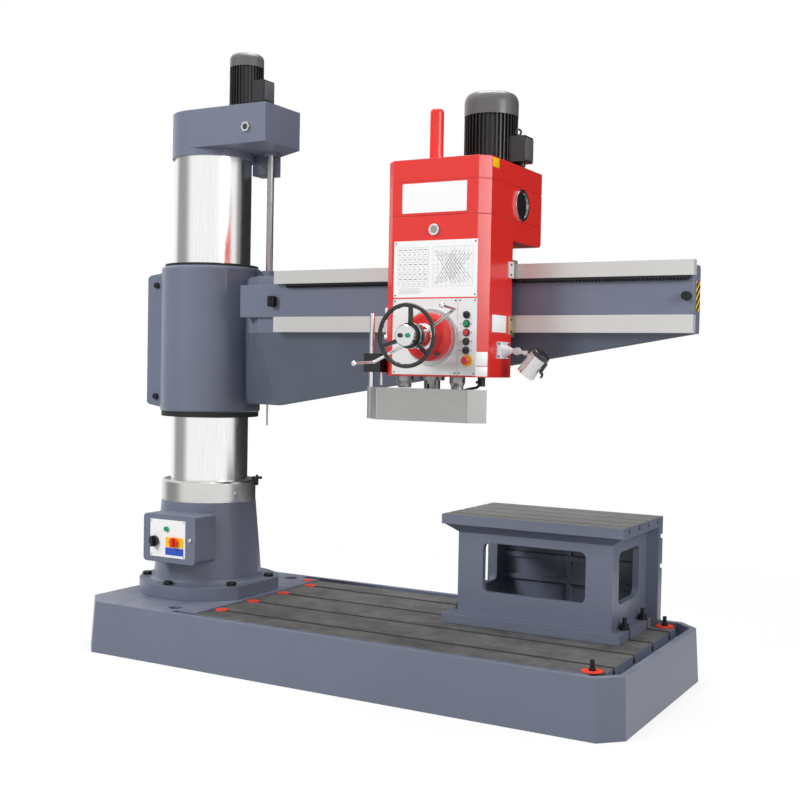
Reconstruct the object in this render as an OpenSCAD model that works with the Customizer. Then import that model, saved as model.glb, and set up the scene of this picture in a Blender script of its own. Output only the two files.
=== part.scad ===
// Radial arm drill: cast base, turning column, lifting arm and travelling drill head.
// Origin: column axis on the floor. X runs along base and arm, -Y is the operator's side, Z is up.

/* [Base] */
// Distance from the column axis to the base's left end
base_left = 300; // [290:1:360]
// Distance from the column axis to the base's right end
base_right = 2164; // [2140:1:2400]
// Width of the base across its top edge
base_w = 1052; // [1010:2:1200]
// Height of the base's rim above the floor
base_h = 220; // [200:1:260]
// How far the walls flare out at the floor
base_flare = 11; // [4:1:20]
// Corner cut at the right end
base_cut = 80; // [60:1:110]
// Corner cut at the left end
base_cut_left = 105; // [60:1:120]
// Wall and rib thickness of the casting
base_wall = 24; // [16:1:34]
// Drop from the rim to the machined working surface
surface_drop = 6; // [2:1:12]
// Start of the machined working surface
surface_x0 = 312; // [310:1:340]
// Gap between working surface and base end at the right
surface_end_gap = 78; // [60:1:110]
// Half width of the working surface
surface_half = 468; // [455:1:480]
// Depth of the coolant gutter below the rim
gutter_d = 58; // [45:1:64]
// Width of the rim wall
rim_w = 22; // [14:1:28]
// Distance between neighbouring T-slots
slot_pitch = 225; // [215:1:235]
// Number of T-slots in the base
slot_count = 4; // [4]
// Neck width of the T-slots
slot_w = 22; // [18:1:26]
// Neck depth of the T-slots
slot_neck = 18; // [14:1:22]
// Head width of the T-slots
slot_head_w = 37; // [32:1:42]
// Head height of the T-slots
slot_head_h = 17; // [14:1:20]
// Radius of the round entries at the slots' left ends
slot_entry_r = 26; // [22:1:30]
// Distance of the anchor holes from the long centre line
anchor_y = 428; // [424:1:430]
// Place of the left anchor holes along the base
anchor_x0 = 172; // [160:1:180]
// Place of the right anchor studs along the base
anchor_x1 = 2038; // [2036:1:2042]
// Radius of the anchor holes
anchor_hole_r = 13; // [10:0.5:14]

/* [Column] */
// Radius of the turning column tube
column_r = 175; // [170:0.5:180]
// Wall of the column tube
column_wall = 25; // [20:1:27]
// Height of the column tube's lower end
column_z0 = 645; // [643:1:650]
// Height of the column tube's upper end
column_z1 = 2230; // [2225:1:2236]
// Radius of the fixed inner column
inner_r = 125; // [118:1:128]
// Wall of the inner column
inner_wall = 22; // [16:1:30]
// Flange radius of the pedestal
flange_r = 318; // [314:1:324]
// Distance of the flange's flat from the column axis
flange_flat = 290; // [286:1:296]
// Thickness of the pedestal flange
flange_t = 58; // [48:1:64]
// Radius of the bolt circle in the flange
flange_pcd_r = 282; // [276:1:284]
// Radius of the pedestal at its foot
pedestal_r0 = 246; // [240:1:250]
// Radius of the pedestal at its top
pedestal_r1 = 215; // [205:1:218]
// Height of the pedestal's top above the floor
pedestal_top = 637; // [630:1:638]
// Height of the clamp ring
ring_h = 95; // [80:1:110]
// Radius of the clamp ring
ring_r = 214; // [206:1:222]

/* [Column cap] */
// Radius of the cap's round end
cap_r = 186; // [183:1:190]
// Reach of the cap to the right of the column axis
cap_reach = 425; // [400:1:440]
// Underside of the cap's gear housing
cap_z0 = 2222; // [2215:1:2226]
// Height of the gear housing
cap_h = 169; // [150:1:190]
// How far the collar hangs below the housing
collar_drop = 30; // [20:1:40]
// Distance of the lift screw from the column axis along X
screw_x = 280; // [276:1:286]
// Distance of the lift screw from the column axis along Y
screw_y = 60; // [50:1:70]
// Radius of the lift screw
screw_r = 15.5; // [12:0.5:18]
// Lower end of the threaded length
screw_z0 = 1300; // [1280:1:1310]
// Finned radius of the lift motor
lift_motor_r = 76; // [70:1:80]
// Length of the lift motor's finned frame
lift_motor_l = 172; // [150:1:210]
// Height of the lift motor's fan cowl
lift_cowl_h = 60; // [56:1:90]

/* [Arm] */
// Radius of the arm's hub
hub_r = 228; // [222:1:232]
// Underside of the hub
hub_z0 = 1045; // [1042:1:1050]
// How far the hub stands above the top of the arm
hub_rise = 60; // [54:1:64]
// Running gap between hub and column
hub_gap = 0.3; // [0.2:0.05:0.4]
// Right end of the arm
arm_end = 2303; // [2290:1:2320]
// Front plane of the guideways
guide_y = 250; // [246:1:254]
// How far the guideways stand out from the painted band
guide_proud = 25; // [23:1:26]
// Underside of the lower guideway
guide_z0 = 1400; // [1398:1:1402]
// Height of the lower guideway
guide_low_h = 64; // [56:1:66]
// Height from the lower guideway's underside to the upper one's
guide_pitch = 202; // [201:1:204]
// Height of the upper guideway
guide_up_h = 55; // [50:1:60]
// Left end of the guideways
guide_x0 = 528; // [524:1:534]
// How far the upper guideway stands above the arm casting
guide_over = 17; // [12:1:20]
// Depth of the casting at the hub, behind the column axis
arm_back = 150; // [140:1:165]
// Thickness of the arm at its free end
arm_tip_t = 52; // [48:1:60]
// Underside of the arm next to the hub
arm_bottom = 1086; // [1084:1:1092]
// Module of the traverse rack
rack_m = 4; // [4]

/* [Drill head] */
// Left side of the head
head_x0 = 1206; // [1200:1:1210]
// Width of the head
head_w = 424; // [418:1:430]
// Front plane of the head
head_front = 498; // [495:1:502]
// Back plane of the head's main part
head_back = 266; // [265:1:268]
// Corner cut of the head's front edges
head_cut = 37; // [25:1:45]
// How far the head hangs below the lower guideway
head_drop = 170; // [166:1:174]
// Height of the head body
body_h = 589; // [584:1:596]
// Height of the gearbox housing
housing_h = 209; // [200:1:220]
// Height of the rear overhang below the gearbox housing
overhang_h = 79; // [70:1:84]
// Distance of the spindle axis from the head's left side
spindle_in = 151; // [149:1:153]
// Distance of the spindle axis in front of the column axis
spindle_y = 375; // [373:1:377]
// Finned radius of the main motor
motor_r = 104; // [98:1:108]
// Distance of the main motor's axis from the head's left side
motor_in = 270; // [260:1:280]
// Distance of the main motor's axis in front of the column axis
motor_y = 150; // [135:1:160]
// Length of the main motor's finned frame
motor_l = 190; // [180:1:220]

/* [Spindle and feed] */
// Radius of the quill
quill_r = 47.5; // [46:0.5:49]
// How far the quill stands below the head when raised
quill_out = 15; // [12:1:18]
// Radius of the spindle nose
nose_r = 31; // [28:0.5:33]
// Length of the spindle nose below the quill
nose_l = 105; // [95:1:112]
// Running clearance of shafts in their bores
run_gap = 0.05; // [0.02:0.01:0.09]
// Height of the feed hub's axis above the head's underside
feed_rise = 144; // [142:1:146]
// Radius of the graduated dial ring
dial_r = 104; // [98:1:105]
// Radius of the red feed drum
drum_r = 88; // [80:1:92]
// Length of the red feed drum
drum_l = 51; // [44:1:56]
// Radius of the feed lever hub
lever_hub_r = 42; // [38:1:44]
// Radius of the bend of the feed levers
lever_reach = 187; // [175:1:195]
// Outer radius of the handwheel
wheel_r = 116; // [105:1:120]
// Radius of the handwheel's rim section
wheel_rim_r = 7.5; // [6:0.5:9]
// Number of finger waves on the handwheel
wheel_waves = 20; // [16:1:24]

/* [Guard and lamp] */
// Radius of the guard post
post_r = 10; // [8:0.5:11]
// Height of the guard sheet
guard_h = 120; // [100:1:130]
// Gap between the head's underside and the guard sheet
guard_drop = 44; // [40:1:50]
// Thickness of the guard sheet
guard_t = 3; // [2:0.5:4]
// Radius of the lamp head
lamp_r = 35; // [30:1:38]
// Length of the lamp head
lamp_l = 97; // [85:1:105]

/* [Work table] */
// Length of the table top
table_l = 777; // [740:1:800]
// Front edge of the table top
table_y0 = -15; // [-30:1:0]
// Width of the table top
table_w = 505; // [490:1:520]
// Height of the table above the working surface
table_h = 448; // [430:1:470]
// Thickness of the table top's edge
top_t = 40; // [34:1:46]
// Wall of the table's box
table_wall = 28; // [22:1:34]
// Thickness of the foot flange
foot_t = 38; // [30:1:44]
// Number of T-slots in the table top
table_slots = 4; // [4]
// Neck width of the table's T-slots
table_slot_w = 18; // [14:1:20]

/* [Hidden] */
$fn = 48;
cut = 1;
slip = 0.3;
surface_z = base_h - surface_drop;
gutter_z = base_h - gutter_d;
surface_x1 = base_right - surface_end_gap;
slot_x0 = surface_x0 + 35;
slot_ys = [for (i = [0:slot_count - 1]) (i - (slot_count - 1) / 2) * slot_pitch];
slot_bottom = surface_z - slot_neck - slot_head_h;
cover_cap_at = [282, 415];
cover_cap_r = 24;
washer_r = 38;
washer_t = 4;
stud_r = 8;
ring_z0 = pedestal_top + slip;
ring_z1 = ring_z0 + ring_h;
flange_z0 = base_h;
flange_z1 = flange_z0 + flange_t;
flange_shift = 10;
flange_bolt_r = 11;
collar_z = cap_z0 - collar_drop;
cap_top = cap_z0 + cap_h;
lift_motor_at = [213, -40];
main_cowl_h = 88;
inner_top = 2160;
guide_back = guide_y - guide_proud;
guide_up_z0 = guide_z0 + guide_pitch;
guide_low_z1 = guide_z0 + guide_low_h;
guide_up_z1 = guide_up_z0 + guide_up_h;
arm_top = guide_up_z1 - guide_over;
hub_z1 = arm_top + hub_rise;
hub_h = hub_z1 - hub_z0;
stop_z = guide_z0 + 130;
body_front = guide_back - 10;
band_x0 = 335;
web_foot_x = band_x0 + 135;
lug_x = -300;
lug_back = 20;
lug_front = 95;
lug_mid = (lug_front - lug_back) / 2;
lug_bolt_x = -245;
lug_bolt_in = 60;
lug_bolt_zs = [hub_z0 + lug_bolt_in, hub_z1 - lug_bolt_in - 20];
end_pad_t = 7;
nut_r = norm([screw_x, screw_y]) - hub_r - 1.5;
screw_tail_l = 315;
nut_sleeve_r = 35;
nut_sleeve_l = 80;
nut_flange_t = 46;
rack_pitch = PI * rack_m;
rack_add = 0.8 * rack_m;
rack_ded = 1.1 * rack_m;
rack_z = guide_up_z0 - 13;
rack_body_z = rack_z + rack_ded;
pinion_n = 15;
pinion_r = rack_m * pinion_n / 2;
pinion_z = rack_z - pinion_r;
rack_y0 = guide_back + 1;
rack_y1 = guide_back + 19;
head_x1 = head_x0 + head_w;
head_z0 = guide_z0 - head_drop;
head_split = head_z0 + body_h;
head_top = head_split + housing_h;
overhang_z0 = head_split - overhang_h;
spindle_x = head_x0 + spindle_in;
motor_x = head_x0 + motor_in;
hub_axis_z = head_z0 + feed_rise;
feed_m = 3;
feed_pitch = PI * feed_m;
feed_n = 13;
feed_r = feed_m * feed_n / 2;
feed_line = quill_r - 6.5;
feed_rack_w = 44;
feed_pinion_w = feed_rack_w - 4;
hub_axis_x = spindle_x + feed_line + feed_r;
quill_z0 = head_z0 - quill_out;
quill_z1 = head_split - 67;
nose_z0 = quill_z0 - nose_l;
guard_top = head_z0 - guard_drop;
shaft_r = 24;
drive_r = 15;
feed_shaft_r = 14;
wheel_shaft_r = 9.95;
pocket_r = feed_r + feed_m + 2;
panel_t = 3;
plate_t = 2;
panel_y = head_front + panel_t;
dial_t = 8;
dial_y = panel_y + slip;
drum_y = dial_y + dial_t;
lever_y0 = drum_y + drum_l;
lever_y1 = lever_y0 + 78;
boss_y0 = lever_y1 + slip;
boss_y1 = boss_y0 + 44;
hubcap_y1 = boss_y1 + 26;
hubcap_r = 38;
wheel_y = boss_y1 + 8;
spoke_angles = [82, 202, 322];
spoke_w = 14;
lever_angles = [30.5, 210.5];
lever_lean = 44;
lever_rod_r = 6;
lever_ball_r = 10;
button_x = head_x1 - 71;
button_pitch = 32;
selector_z = head_z0 + 225;
button_zs = [for (i = [1:4]) selector_z - i * button_pitch];
button_r = 10;
button_out = 9;
estop_at = [head_x1 - 66, head_z0 + 60];
estop_r = 15;
button_travel = 3;
post_at = [head_x0 - 54, -head_front + 18];
guard_line = head_front + 47;
guard_fold = [[head_x0 + 9, -guard_line], [head_x1 - 40, -guard_line], [head_x1 + 15, -guard_line + 45]];
lamp_at = [head_x1 + 60, -345, head_z0 + 98];
lamp_tip = lamp_at + [36, 0, -6];
lamp_mid = lamp_at + [67, 0, -46];
lamp_lean = 40;
lamp_pin_r = 4;
lamp_ear = [6, -lamp_at[1] - 12, -lamp_at[1] - slip];
box_x = [-86, 203];
box_z = [388, 598];
box_front = 346;
box_back = 205;
box_round = 18;
pump_switch_at = [-20, 479];
main_switch_at = [92, 482];
table_top_z = surface_z + table_h;
washer_pass = 2;
table_x1 = anchor_x1 - washer_r + washer_pass;
table_x0 = table_x1 - table_l;
table_y1 = table_y0 + table_w;
body_in = 56;
body_x0 = table_x0 + body_in;
body_x1 = table_x1 - body_in;
body_y0 = table_y0 + 47;
back_t = 48;
foot_z = surface_z + foot_t;
foot_y1 = table_y1 - back_t - 60;
table_pitch = 120;
knob_shaft_r = 8;
knob_shaft_l = 26;
switch_shaft_r = 5;
switch_shaft_l = 16;
knob_y = -head_front + 68;
knob_l_at = [head_x0 + 62, knob_y];
knob_r_at = [head_x0 + 285, knob_y];
spindle_lever_at = [head_x0 - 10, -head_front + 55, hub_axis_z + 1];
panel_x = [head_x0 + 47, head_x0 + 316, head_x1 - 31];
panel_z = [head_z0 + 6, head_z0 + 285];
pipe_at = [head_x1 - 55, -400];

// Box between two corners
module block(a, b) { translate(a) cube(b - a); }

// Cylinder along Y between two depths, both counted forward from the column axis
module along_y(x, z, near, far, r, r2 = undef) {
    translate([x, -near, z]) rotate([90, 0, 0]) cylinder(h = far - near, r1 = r, r2 = is_undef(r2) ? r : r2);
}

// Cylinder along X between two places
module along_x(y, z, x0, x1, r) { translate([x0, y, z]) rotate([0, 90, 0]) cylinder(h = x1 - x0, r = r); }

// Rectangle with round corners, from its lower left corner
module round_rect(size, r) {
    translate([r, 0]) square([size[0] - 2 * r, size[1]]);
    translate([0, r]) square([size[0], size[1] - 2 * r]);
    for (x = [r, size[0] - r], y = [r, size[1] - r]) translate([x, y]) circle(r);
}

// Plate standing in the XZ plane between two depths in front of the column axis
module front_plate(x0, x1, z0, z1, near, far, r) {
    translate([x0, -near, z0]) rotate([90, 0, 0]) linear_extrude(far - near)
        round_rect([x1 - x0, z1 - z0], r);
}

// Straight round bar between two points
module bar(a, b, r) {
    d = b - a;
    l = norm(d);
    translate(a) rotate([0, acos(d[2] / l), atan2(d[1], d[0])]) cylinder(h = l, r = r);
}

// Base outline with its corners cut, grown by a margin
function base_outline(g) = let (
    l = -base_left - g,
    r = base_right + g,
    h = base_w / 2 + g)
    [[l + base_cut_left, -h], [r - base_cut, -h], [r, -h + base_cut], [r, h - base_cut],
     [r - base_cut, h], [l + base_cut_left, h], [l, h - base_cut_left], [l, -h + base_cut_left]];

// Solid between two outlines with the same number of points
module tapered(low, high, z0, z1) {
    n = len(low);
    polyhedron(
        points = concat([for (p = low) [p[0], p[1], z0]], [for (p = high) [p[0], p[1], z1]]),
        faces = concat([[for (i = [0:n - 1]) i]], [[for (i = [n - 1:-1:0]) n + i]],
            [for (i = [0:n - 1]) [i, n + i, n + (i + 1) % n, (i + 1) % n]]));
}

module surface_outline(g) {
    c = base_cut - 30;
    x1 = surface_x1 + g;
    h = surface_half + g;
    polygon([[surface_x0 - g, -h], [x1 - c, -h], [x1, -h + c], [x1, h - c], [x1 - c, h],
        [surface_x0 - g, h]]);
}

module gutter_outline() {
    c = base_cut - 10;
    x1 = base_right - rim_w;
    h = base_w / 2 - rim_w;
    x0 = surface_x0 - 100;
    difference() {
        polygon([[x0, -h], [x1 - c, -h], [x1, -h + c], [x1, h - c], [x1 - c, h], [x0, h]]);
        surface_outline(0);
        translate([x0 - cut, -surface_half]) square([surface_x0 - x0 + 2 * cut, 2 * surface_half]);
    }
}

module t_slot(x0, x1, y, z, w, neck, head_w, head_h) {
    block([x0, y - w / 2, z - neck - cut], [x1, y + w / 2, z + cut]);
    block([x0, y - head_w / 2, z - neck - head_h], [x1, y + head_w / 2, z - neck]);
}

module base_cavities() {
    bays = 6;
    bay = (base_left + base_right - base_wall) / bays;
    roof = gutter_z - 20;
    for (i = [0:bays - 1], s = [-1, 1])
        translate([-base_left + base_wall + i * bay, s < 0 ? -base_w / 2 + base_wall : base_wall / 2, -cut])
            cube([bay - base_wall, base_w / 2 - 1.5 * base_wall, roof + cut]);
}

module base_casting() color("#70768a") difference() {
    union() {
        difference() {
            tapered(base_outline(base_flare), base_outline(0), 0, base_h);
            intersection() {
                base_cavities();
                tapered(base_outline(-base_wall), base_outline(-base_wall), -cut, base_h);
            }
        }
        for (x = [anchor_x0, anchor_x1], s = [-1, 1])
            translate([x, s * anchor_y, 0]) cylinder(h = gutter_z - 10, r = anchor_hole_r * 3);
    }
    translate([0, 0, gutter_z]) linear_extrude(gutter_d + cut) gutter_outline();
    translate([0, 0, surface_z]) linear_extrude(surface_drop + cut) surface_outline(0.01);
    for (y = slot_ys) {
        t_slot(slot_x0, surface_x1 + cut, y, surface_z, slot_w, slot_neck, slot_head_w, slot_head_h);
        translate([slot_x0, y, slot_bottom]) cylinder(h = slot_neck + slot_head_h + cut, r = slot_entry_r);
    }
    translate([cover_cap_at[0], cover_cap_at[1], gutter_z]) cylinder(h = gutter_d + cut, r = cover_cap_r);
    for (x = [anchor_x0, anchor_x1], s = [-1, 1])
        translate([x, s * anchor_y, -cut]) cylinder(h = base_h + 2 * cut, r = anchor_hole_r);
    for (s = [-1, 1]) translate([anchor_x0, s * anchor_y, gutter_z + 20])
        cylinder(h = gutter_d, r = anchor_hole_r * 2.4);
}

// Slot entry caps, sump cap and the washers of the right anchor studs
module slot_caps() color("#e8442c") {
    for (y = slot_ys) translate([slot_x0, y, surface_z]) {
        cylinder(h = 3, r = slot_entry_r + 2);
        translate([0, 0, -16]) cylinder(h = 16, r = slot_entry_r - slip);
    }
    translate([cover_cap_at[0], cover_cap_at[1], base_h]) {
        cylinder(h = 3, r = cover_cap_r + 2);
        translate([0, 0, -16]) cylinder(h = 16, r = cover_cap_r - slip);
    }
    for (s = [-1, 1]) translate([anchor_x1, s * anchor_y, surface_z]) difference() {
        cylinder(h = washer_t, r = washer_r);
        translate([0, 0, -cut]) cylinder(h = washer_t + 2 * cut, r = stud_r + slip);
    }
}

module hex_head(r, h) {
    cylinder(h = h * 0.85, r = r, $fn = 6);
    translate([0, 0, h * 0.85]) cylinder(h = h * 0.15, r1 = r * 0.86, r2 = r * 0.7);
}

function foot_bolt_xs() = [table_x0 + 30, table_x1 - 30];

module clamp_studs() color("#3c3c3a") {
    for (s = [-1, 1]) translate([anchor_x1, s * anchor_y, 0]) {
        translate([0, 0, 60]) cylinder(h = surface_z + 42 - 60, r = stud_r);
        translate([0, 0, surface_z + washer_t]) cylinder(h = 9, r = stud_r * 1.7, $fn = 6);
    }
    for (x = foot_bolt_xs(), y = [slot_ys[2], slot_ys[3]]) translate([x, y, 0]) {
        t = slot_head_w / 2 - 2;
        block([-t, -t, slot_bottom + 1], [t, t, slot_bottom + slot_head_h - 1]);
        translate([0, 0, slot_bottom + 5]) cylinder(h = foot_z + 46 - slot_bottom - 5, r = slot_w / 2 - 2);
        translate([0, 0, foot_z]) cylinder(h = 5, r = slot_w * 0.95);
        translate([0, 0, foot_z + 5]) cylinder(h = 18, r = slot_w * 0.82, $fn = 6);
    }
}

// Conical profile of the pedestal, grown by a margin
module pedestal_cone(g) {
    r = pedestal_r0 + g;
    rotate_extrude() polygon([[0, flange_z0], [r + 14, flange_z0], [r + 14, flange_z1],
        [r + 5, flange_z1 + 6], [r, flange_z1 + 18], [pedestal_r1 + g, pedestal_top], [0, pedestal_top]]);
}

module pedestal() color("#70768a") difference() {
    union() {
        pedestal_cone(0);
        intersection() {
            translate([flange_shift, 0, flange_z0]) cylinder(h = flange_t, r = flange_r);
            block([-flange_r, -flange_r, flange_z0], [flange_flat, flange_r, flange_z1]);
        }
    }
    translate([0, 0, flange_z0 - cut]) cylinder(h = pedestal_top, r = inner_r + slip);
    for (a = [30:60:330]) rotate(a) translate([flange_pcd_r, 0, flange_z0 - cut])
        cylinder(h = flange_t + 2 * cut, r = flange_bolt_r + 0.5);
}

module pedestal_bolts() color("#33353a") for (a = [30:60:330])
    rotate(a) translate([flange_pcd_r, 0, flange_z0]) {
        cylinder(h = flange_t, r = flange_bolt_r);
        translate([0, 0, flange_t]) hex_head(22, 16);
    }

module inner_column() color("#8d9094") translate([0, 0, base_h]) difference() {
    cylinder(h = inner_top - base_h, r = inner_r);
    translate([0, 0, -cut]) cylinder(h = inner_top, r = inner_r - inner_wall);
}

// Two roller bearings between the inner column and the turning tube
module column_bearings() color("#b9bcc0") for (z = [column_z0 + 20, inner_top - 60])
    translate([0, 0, z]) rotate_extrude() {
        r0 = inner_r + slip;
        r1 = column_r - column_wall - slip;
        polygon([[r0, 0], [r1, 0], [r1, 40], [r1 - 5, 40], [r1 - 5, 32], [r0 + 5, 32], [r0 + 5, 40],
            [r0, 40]]);
    }

module clamp_ring() color("#c9cbce") difference() {
    rotate_extrude() polygon([[column_r + 0.5, ring_z0], [ring_r, ring_z0], [ring_r, ring_z1 - 10],
        [ring_r - 4, ring_z1 - 3], [ring_r - 10, ring_z1], [column_r + 0.5, ring_z1]]);
    for (a = [200, 340]) rotate(a) translate([ring_r - 12, 0, (ring_z0 + ring_z1) / 2]) rotate([0, 90, 0])
        cylinder(h = 20, r = 8);
}

module control_box() color("#70768a") difference() {
    front_plate(box_x[0], box_x[1], box_z[0], box_z[1], box_back, box_front, box_round);
    pedestal_cone(slip);
    switch_bores();
}

// Cover plate of the control box with its lamp and the raised field of the main switch
module control_plate() color("#f2f3f4") difference() {
    union() {
        front_plate(-46, 150, 412, 576, box_front, box_front + plate_t, 4);
        along_y(48, 537, box_front + plate_t, box_front + plate_t + 9, 11);
        front_plate(42, 141, 458, 502, box_front + plate_t, box_front + plate_t + 1, 3);
    }
    switch_bores();
}

// Rotary switch: shaft, round base and raised pointer grip
module rotary_grip(x, z, y, r, turn) {
    translate([x, -y, z]) rotate([90, 0, 0]) {
        cylinder(h = 12, r = r);
        translate([0, 0, -switch_shaft_l]) cylinder(h = switch_shaft_l + 1, r = switch_shaft_r);
        rotate(turn) translate([-r * 0.95, -r * 0.25, 0]) cube([r * 1.9, r * 0.5, 26]);
    }
}

module switch_bores() {
    for (at = [pump_switch_at, main_switch_at])
        along_y(at[0], at[1], box_front - switch_shaft_l, box_front + plate_t + 2, switch_shaft_r + run_gap);
}

module pump_switch() color("#1d1d1f")
    rotary_grip(pump_switch_at[0], pump_switch_at[1], box_front + plate_t + slip, 24, 100);
module main_switch() color("#e2231a")
    rotary_grip(main_switch_at[0], main_switch_at[1], box_front + plate_t + 1 + slip, 21, 90);

// Rectangular window through a wall that stands across Y
module window_y(x0, x1, z0, z1, y0, y1, r) {
    translate([x0, y1, z0]) rotate([90, 0, 0]) linear_extrude(y1 - y0) round_rect([x1 - x0, z1 - z0], r);
}

// Rectangular window through a wall that stands across X
module window_x(y0, y1, z0, z1, x0, x1, r) {
    translate([x0, y0, z0]) rotate([90, 0, 90]) linear_extrude(x1 - x0) round_rect([y1 - y0, z1 - z0], r);
}

module work_table() color("#70768a") difference() {
    union() {
        block([table_x0, table_y0, table_top_z - top_t], [table_x1, table_y1, table_top_z]);
        tapered(
            [[body_x0, body_y0], [body_x1, body_y0], [body_x1, table_y1 - 1], [body_x0, table_y1 - 1]],
            [[table_x0 + 8, table_y0 + 8], [table_x1 - 8, table_y0 + 8], [table_x1 - 8, table_y1 - 1],
             [table_x0 + 8, table_y1 - 1]],
            table_top_z - top_t - 34, table_top_z - top_t);
        block([body_x0, body_y0, surface_z], [body_x1, table_y1 - 1, table_top_z - top_t - 30]);
        block([table_x0, table_y1 - back_t, surface_z], [table_x1, table_y1, table_top_z]);
        block([table_x0 + 3, table_y0 + 5, surface_z], [table_x1 - 9, foot_y1, foot_z]);
    }
    difference() {
        block([body_x0 + table_wall, body_y0 + table_wall, surface_z - cut],
            [body_x1 - table_wall, table_y1 - back_t, table_top_z - top_t - 24]);
        for (z = [345, 442]) block([body_x0, table_y1 - back_t - 16, z], [body_x1, table_y1, z + 22]);
        block([(body_x0 + body_x1) / 2 - 10, table_y1 - back_t - 16, surface_z],
            [(body_x0 + body_x1) / 2 + 10, table_y1, table_top_z]);
    }
    window_y(body_x0 + 112, body_x1 - 110, 350, 552, body_y0 - cut, body_y0 + table_wall + cut, 26);
    window_x(body_y0 + 75, body_y0 + 325, 345, 552, body_x0 - cut, body_x0 + table_wall + cut, 26);
    window_x(body_y0 + 75, body_y0 + 325, 345, 552, body_x1 - table_wall - cut, body_x1 + cut, 26);
    for (i = [0:table_slots - 1]) {
        y = table_y0 + table_w / 2 + (i - (table_slots - 1) / 2) * table_pitch;
        t_slot(table_x0 - cut, table_x1 + cut, y, table_top_z, table_slot_w, 14, 30, 12);
    }
    for (z = [454, 579]) {
        block([table_x0 - cut, table_y1 - 14, z - 9], [table_x1 + cut, table_y1 + cut, z + 9]);
        block([table_x0 - cut, table_y1 - 26, z - 15], [table_x1 + cut, table_y1 - 14, z + 15]);
    }
    for (x = [table_x0 - cut, body_x1 + 12], y = [slot_ys[2], slot_ys[3]])
        block([x, y - slot_w / 2, surface_z - cut], [x + table_in_slot(), y + slot_w / 2, foot_z + cut]);
}

function table_in_slot() = body_in - 10;

module column_sleeve() color("#d5d7d9") translate([0, 0, column_z0]) difference() {
    cylinder(h = column_z1 - column_z0, r = column_r);
    translate([0, 0, -cut]) cylinder(h = column_z1, r = column_r - column_wall);
}

module top_cap() color("#70768a") difference() {
    union() {
        translate([0, 0, collar_z]) cylinder(h = cap_top - collar_z, r = cap_r);
        translate([0, 0, cap_z0]) linear_extrude(cap_h)
            polygon([[0, -cap_r], [cap_reach, -cap_r], [cap_reach, 75], [230, cap_r], [0, cap_r]]);
        block([150, 98, cap_z0 - 92], [250, cap_r - 8, cap_z0]);
        translate([screw_x, screw_y, cap_z0 - 14]) cylinder(h = 20, r = 34);
        translate([lift_motor_at[0], lift_motor_at[1], cap_top - cut]) cylinder(h = 9, r = lift_motor_r + 8);
    }
    translate([0, 0, collar_z - cut]) cylinder(h = column_z1 - collar_z + cut, r = column_r + slip);
    translate([screw_x, screw_y, cap_z0 - 20]) cylinder(h = 60, r = screw_r + run_gap);
    translate([screw_x, screw_y, cap_z0 + 20]) cylinder(h = 52, r = 41);
}

module cap_plug() color("#e6e7e9")
    translate([cap_reach - 103, -cap_r, cap_z0 + 68]) rotate([90, 0, 0]) difference() {
    cylinder(h = 9, r = 23, $fn = 6);
    translate([0, 0, 3]) cylinder(h = 9, r = 13);
}

// Finned motor frame: n fins round a barrel
module finned_frame(r, barrel, n, h) {
    linear_extrude(h) {
        circle(barrel);
        for (i = [0:n - 1]) rotate(i * 360 / n) translate([barrel - 2, -1.6]) square([r - barrel + 2, 3.2]);
    }
}

module lift_motor() color("#4b4d50") translate([lift_motor_at[0], lift_motor_at[1], cap_top + 8]) {
    cylinder(h = 12, r = lift_motor_r + 6);
    translate([0, 0, 12]) finned_frame(lift_motor_r, lift_motor_r - 10, 32, lift_motor_l);
    block([lift_motor_r - 14, -42, 24], [lift_motor_r + 48, 38, 118]);
}

// Fan cowl: open-fronted drum with a rounded top and air slots
module fan_cowl(r, r_top, h, band) {
    difference() {
        rotate_extrude() polygon(concat(
            [[0, 0], [r, 0], [r, band]],
            [for (i = [0:6]) let (a = i * 15) [r_top + (r - r_top) * cos(a), band + (h - band) * sin(a)]],
            [[0, h]]));
        for (i = [0:17]) rotate(i * 20) translate([r_top * 0.35, -2.5, h - 5]) cube([r_top * 0.55, 5, 6]);
        translate([0, 0, -cut]) cylinder(h = band * 0.6, r = r - 5);
    }
}

module lift_motor_cowl() color("#55575a")
    translate([lift_motor_at[0], lift_motor_at[1], cap_top + 20 + lift_motor_l])
        fan_cowl(lift_motor_r, lift_motor_r - 24, lift_cowl_h, 36);

module lift_screw() color("#b5b7ba") translate([screw_x, screw_y, 0]) {
    translate([0, 0, screw_z0]) cylinder(h = cap_z0 + 30 - screw_z0, r = screw_r);
    translate([0, 0, cap_z0 + 20 + slip]) cylinder(h = 50, r = 40.5);
    translate([0, 0, screw_z0 - screw_tail_l]) cylinder(h = screw_tail_l + cut, r = 4);
}

// Plan of the arm's box, starting at a given place beside the hub
function arm_plan(x0) = [[x0, -40], [hub_r + 5, -40], [band_x0 - 5, -arm_back], [420, -body_front + 4],
    [arm_end, -body_front], [arm_end, -body_front + arm_tip_t], [330, arm_back], [x0, arm_back + 10]];

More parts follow.
